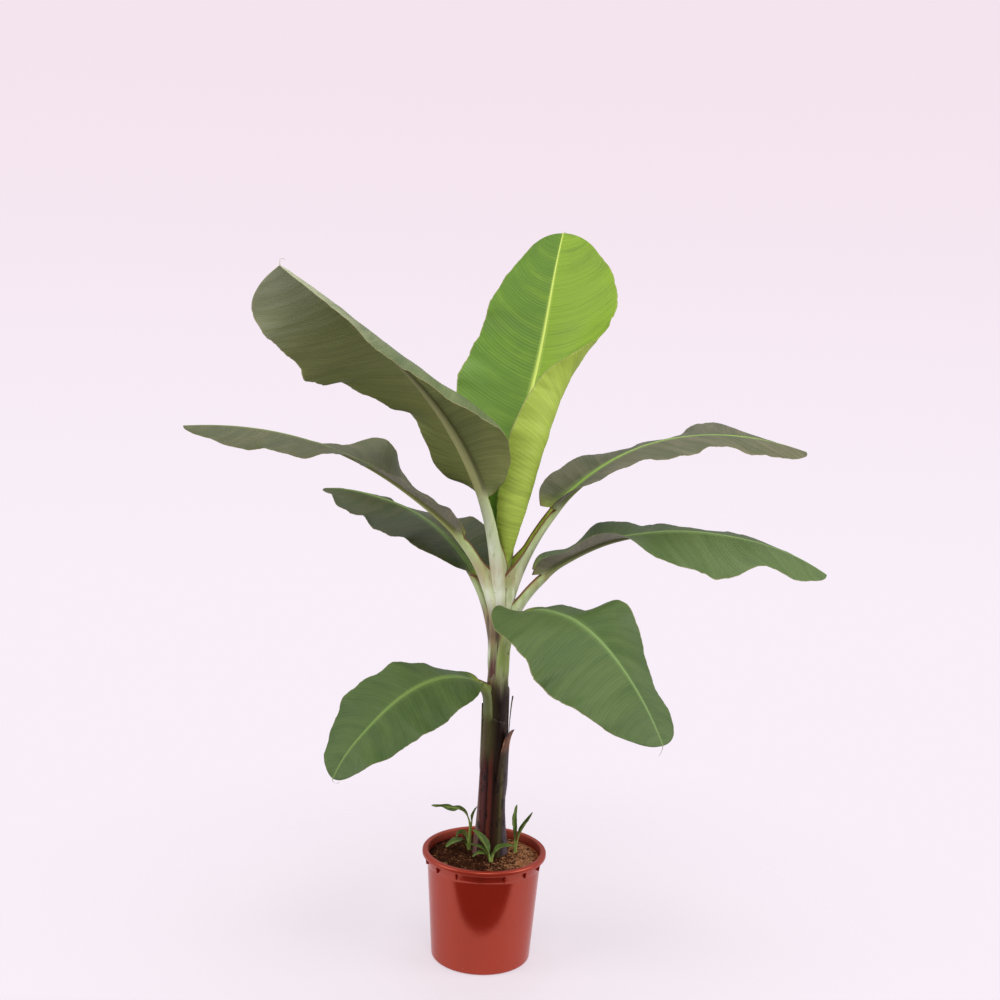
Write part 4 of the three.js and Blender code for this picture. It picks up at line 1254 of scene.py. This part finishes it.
class BANANA_OT_leaves(bpy.types.Operator):
    """Grows the eight leaves with their stalks and sheaths"""

    bl_idname = "banana.leaves"
    bl_label = "Leaves"

    def execute(self, context):
        settings = context.scene.banana_leaves
        tree = vein_tree()
        for rank, leaf in enumerate(LEAVES):
            name = leaf["name"]
            start = trunk_axis(float(leaf["base"]))
            parts = [leaf_loft(leaf, LEAF_FORM, start, 10 * rank + 1)]
            if leaf["wisp"][0]:
                parts.append(wisp_loft(leaf, RibLine(leaf, start)))
            mesh = loft_mesh(name, parts)
            finish = leaf_finish(name + "_skin", LEAF_COLOURS[name])
            piece = grown(name, mesh, tree, finish, {
                "Vein depth": settings.vein_depth, "Pleat depth": settings.pleat_depth,
                "Veins in a pleat": settings.veins_in_pleat, "Seed": float(rank),
            })
            seat(piece, "young_leaf" if rank == 0 else "leaf", name)
        return {"FINISHED"}


class BANANA_OT_trunk(bpy.types.Operator):
    """Wraps the false stem in its old sheaths"""

    bl_idname = "banana.trunk"
    bl_label = "Trunk"

    def execute(self, context):
        settings = context.scene.banana_trunk
        rows, sides = 230, 150
        z = np.linspace(TRUNK["foot"], TRUNK["top"], rows)[:, None]
        turn = np.arange(sides)[None] / sides
        angle = 2 * math.pi * turn
        # above the cut ends of the old sheaths only the core is left
        cut = TRUNK["cut"] + 34 * np.sin(angle + 0.6) + 10 * np.sin(3 * angle + 1)
        radius = trunk_radius(z) - TRUNK["sheath"] * smooth(z, cut, cut + 5)
        into_top = np.maximum(0, z - TRUNK["round_from"]) / TRUNK["round"]
        radius = radius * np.sqrt(np.maximum(0.02, 1 - into_top**2))
        out = np.stack([np.cos(angle) + 0 * z, np.sin(angle) + 0 * z, 0 * angle + 0 * z], -1)
        rings = trunk_axis(z) + out * radius[..., None]
        marks = {
            "turn": turn + 0 * z, "climb": (z - TRUNK["foot"]) / TRUNK["wrap"] + 0 * angle, "out_way": out,
        }
        mesh = loft_mesh("trunk", [(rings, marks)])
        piece = grown("trunk", mesh, trunk_tree(), trunk_finish(), {
            "Sheaths": settings.sheaths, "Lap height": settings.lap_height, "Swell": settings.swell,
        })
        seat(piece, "trunk", "trunk")
        return {"FINISHED"}


class BANANA_OT_dry_sheaths(bpy.types.Operator):
    """Hangs the dried sheath ends on the trunk"""

    bl_idname = "banana.dry_sheaths"
    bl_label = "Dry sheaths"

    def execute(self, context):
        finish = trunk_finish()
        for number, sheath in enumerate(DRY_SHEATHS):
            rows, across = 90, 30
            t = np.linspace(0, 1, rows)[:, None]
            side = np.concatenate([np.linspace(-1, 1, across), np.linspace(1, -1, across)])[None]
            face = np.concatenate([np.ones(across), -np.ones(across)])[None]
            z = lerp(sheath["foot"], sheath["tip"], t) + 0 * side
            ragged = 1 + 0.07 * wander(number + 40, t * 9) + 0.05 * wander(number + 50, t * 31)
            spread = np.radians(sheath["spread"]) * np.sqrt(1 - t * 0.985) * ragged
            lift = sheath["flare"] * t ** sheath["sharp"] + 1.0 * np.abs(side) ** 3 * (0.5 + t)
            crease = 0.5 * wander(number + 60, side * 3.5, t * 2)
            tucked = smooth(t, 0.0, 0.35)
            near = trunk_radius(z) + lerp(-3.5, 1.4, tucked) + (lift + crease) * tucked
            angle = np.radians(sheath["facing"]) + spread * side
            out = np.stack([np.cos(angle), np.sin(angle), 0 * angle], -1)
            thick = 0.55 * (1 - 0.5 * np.abs(side) ** 4)
            rings = trunk_axis(z) + out * (near + face * thick)[..., None]
            marks = {
                "lap": 0.5 + 0 * z,
                "dry": np.maximum(sheath["dry"] * smooth(t, 0.45, 0.95), smooth(t, 0.9, 1))
                + 0.25 * np.abs(side) ** 8,
                "pale": sheath["pale"] * smooth(t, 0.3, 0.6) + 0 * side,
            }
            piece = shown(sheath["name"], loft_mesh(sheath["name"], [(rings, marks)]), finish)
            seat(piece, "dry_sheath", sheath["name"])
        return {"FINISHED"}


class BANANA_OT_pot(bpy.types.Operator):
    """Turns the pot and stands the fins under its rim"""

    bl_idname = "banana.pot"
    bl_label = "Pot"

    def execute(self, context):
        settings = context.scene.banana_pot
        rim, neck, wall, floor, bend = (POT[key] for key in ("rim", "neck", "wall", "floor", "round"))
        top, low = POT["height"], POT["height"] - POT["rim_depth"]
        # from the hollow of the underside up the wall, over a small step, and round the rolled rim
        step = low - POT["step"]
        outside = [(60, 1.2), (84, 1.0), (87, 0), (POT["base"] - bend, 0)]
        outside += quarter(pot_radius(bend) - bend, bend, bend, -90)
        outside += [(pot_radius(z), z) for z in np.linspace(9, step - 0.6, 40)]
        outside += [(pot_radius(step) + 0.5, step + 0.2), (pot_radius(step) + 0.7, step + 1.0)]
        outside += [(pot_radius(low) + out, low - drop) for out, drop in ((0.6, 1.2), (0.9, 0.4), (1.6, 0))]
        outside += [(rim - 1.6, low), (rim - 0.5, low + 0.4), (rim, low + 1.5)]
        outside += quarter(rim - 4, top - 4, 4, 0)
        # down the inside to the floor; the third number is how far inside a point counts
        lip = neck - wall
        inside = [(lip + 2, top, 0.3), (lip + 0.6, top - 0.6, 0.6), (lip, top - 2, 1)]
        inside += [(pot_radius(z) - wall, z, 1) for z in np.linspace(low, 2 * floor, 24)]
        inside += [(pot_radius(floor) - wall - 4, floor, 1), (50, floor, 1)]
        profile = np.array([(radius, z, 0) for radius, z in outside] + inside, float)
        rings = turned(profile, 192)
        mesh = loft_mesh("pot", [(rings, {"inside": profile[:, None, 2] + 0 * rings[..., 0]})])
        reach = 7.0
        piece = grown("pot", mesh, fin_tree(), pot_finish(), {
            "Fins": settings.fins, "First angle": math.radians(-93),
            "Radius": (neck - 2 + reach / 2) * MM, "Reach": reach * MM,
            "Thickness": settings.fin_thickness, "Height": settings.fin_height, "Top": (low + 0.5) * MM,
        })
        seat(piece, "pot", "pot")
        return {"FINISHED"}


class BANANA_OT_soil(bpy.types.Operator):
    """Fills the pot with fibrous soil"""

    bl_idname = "banana.soil"
    bl_label = "Soil"

    def execute(self, context):
        settings = context.scene.banana_pot
        sides, rounds = 160, 62
        angle = (np.arange(sides) / sides * 2 * math.pi)[None]
        edge = pot_radius(SOIL["top"]) - POT["wall"] - 0.5
        lower = [(pot_radius(4) - 6, 4.4)]
        lower += [(pot_radius(z) - POT["wall"] - 1, z) for z in (20, 120)]
        lower += [(edge - 0.4, 192)]
        radius = np.linspace(edge, 1.5, rounds)[:, None]
        x, y = radius * np.cos(angle), radius * np.sin(angle)
        crown = SOIL["dome"] * smooth(radius, SOIL["edge"], SOIL["crown"])
        lumps = 1.5 * wander(71, x / 22, y / 9) * wander(72, y / 20, x / 7)
        lumps = lumps + 1.0 * wander(73, x / 7, y / 3) * wander(74, y / 6, x / 3)
        crumbs = 0.8 * wander(75, x / 2.6, y / 1.2) * wander(76, y / 2.9, x)
        rough = (lumps + crumbs) * smooth(radius, edge + 2, edge - 8)
        z = SOIL["top"] + 3.0 + crown + rough - 1.5 * smooth(radius, edge - 10, edge)
        mesh = loft_mesh("soil", [(np.concatenate([turned(lower, sides), np.stack([x, y, z], -1)]), {})])
        finish = soil_finish("damp_soil", tuple(settings.soil_dark), tuple(settings.soil_pale))
        piece = shown("soil", mesh, finish)
        seat(piece, "soil", "soil")
        fibre = soil_finish("dry_fibre", (0.060, 0.020, 0.009), (0.62, 0.30, 0.14))
        litter = grown("soil_fibres", mesh, litter_tree(), fibre, {
            "Fibres": settings.fibres, "Length": settings.fibre_length,
        })
        seat(litter, "soil")
        return {"FINISHED"}


class BANANA_OT_shoots(bpy.types.Operator):
    """Grows the young shoots at the trunk's foot"""

    bl_idname = "banana.shoots"
    bl_label = "Shoots"

    def execute(self, context):
        tree = vein_tree()
        finish = leaf_finish("shoot_skin", SHOOT_COLOURS, woody=False)
        for number, shoot in enumerate(SHOOTS):
            start = np.array([shoot["x"], shoot["y"], SOIL["top"] - 2.0])
            parts = []
            for k, young in enumerate(shoot["leaves"]):
                width = young["width"]
                turn = np.linspace(0, 1, len(young["lift"])) * young["turn"]
                half = dict(width=[width * 0.7, width, width * 0.9], curl=[0, 10, 20])
                leaf = dict(
                    young, lobe=(0, 0), ear=(0.4, 0.8),
                    right=dict(half, lift=young["lift"] + turn, wave=(0.8, 2, 0.2)),
                    left=dict(half, lift=young["lift"] - turn, wave=(0.8, 2, 0.6)),
                )
                parts.append(leaf_loft(leaf, SHOOT_FORM, start, 200 + 10 * number + k))
            mesh = loft_mesh(shoot["name"], parts)
            piece = grown(shoot["name"], mesh, tree, finish, {"Vein depth": 0.00006, "Pleat depth": 0.0003})
            seat(piece, "shoot", shoot["name"])
        return {"FINISHED"}


OPERATORS = (
    BANANA_OT_stage, BANANA_OT_leaves, BANANA_OT_trunk, BANANA_OT_dry_sheaths,
    BANANA_OT_pot, BANANA_OT_soil, BANANA_OT_shoots,
)
SETTINGS = {
    "banana_stage": StageSettings, "banana_leaves": LeafSettings,
    "banana_trunk": TrunkSettings, "banana_pot": PotSettings,
}


class BANANA_PT_panel(bpy.types.Panel):
    """Lists the plant's settings and its pieces"""

    bl_idname = "BANANA_PT_panel"
    bl_label = "Banana plant"
    bl_space_type = "VIEW_3D"
    bl_region_type = "UI"
    bl_category = "Banana plant"

    def draw(self, context):
        for key, group in SETTINGS.items():
            box = self.layout.box()
            for name in group.__annotations__:
                box.prop(getattr(context.scene, key), name)
        for operator in OPERATORS:
            self.layout.operator(operator.bl_idname)


def register():
    for cls in (*SETTINGS.values(), *OPERATORS, BANANA_PT_panel):
        bpy.utils.register_class(cls)
    for key, group in SETTINGS.items():
        setattr(bpy.types.Scene, key, bpy.props.PointerProperty(type=group))


def unregister():
    for key in SETTINGS:
        delattr(bpy.types.Scene, key)
    for cls in (BANANA_PT_panel, *reversed(OPERATORS), *SETTINGS.values()):
        bpy.utils.unregister_class(cls)


def main():
    register()
    for operator in OPERATORS:
        area, name = operator.bl_idname.split(".")
        getattr(getattr(bpy.ops, area), name)()


if __name__ == "__main__":
    main()
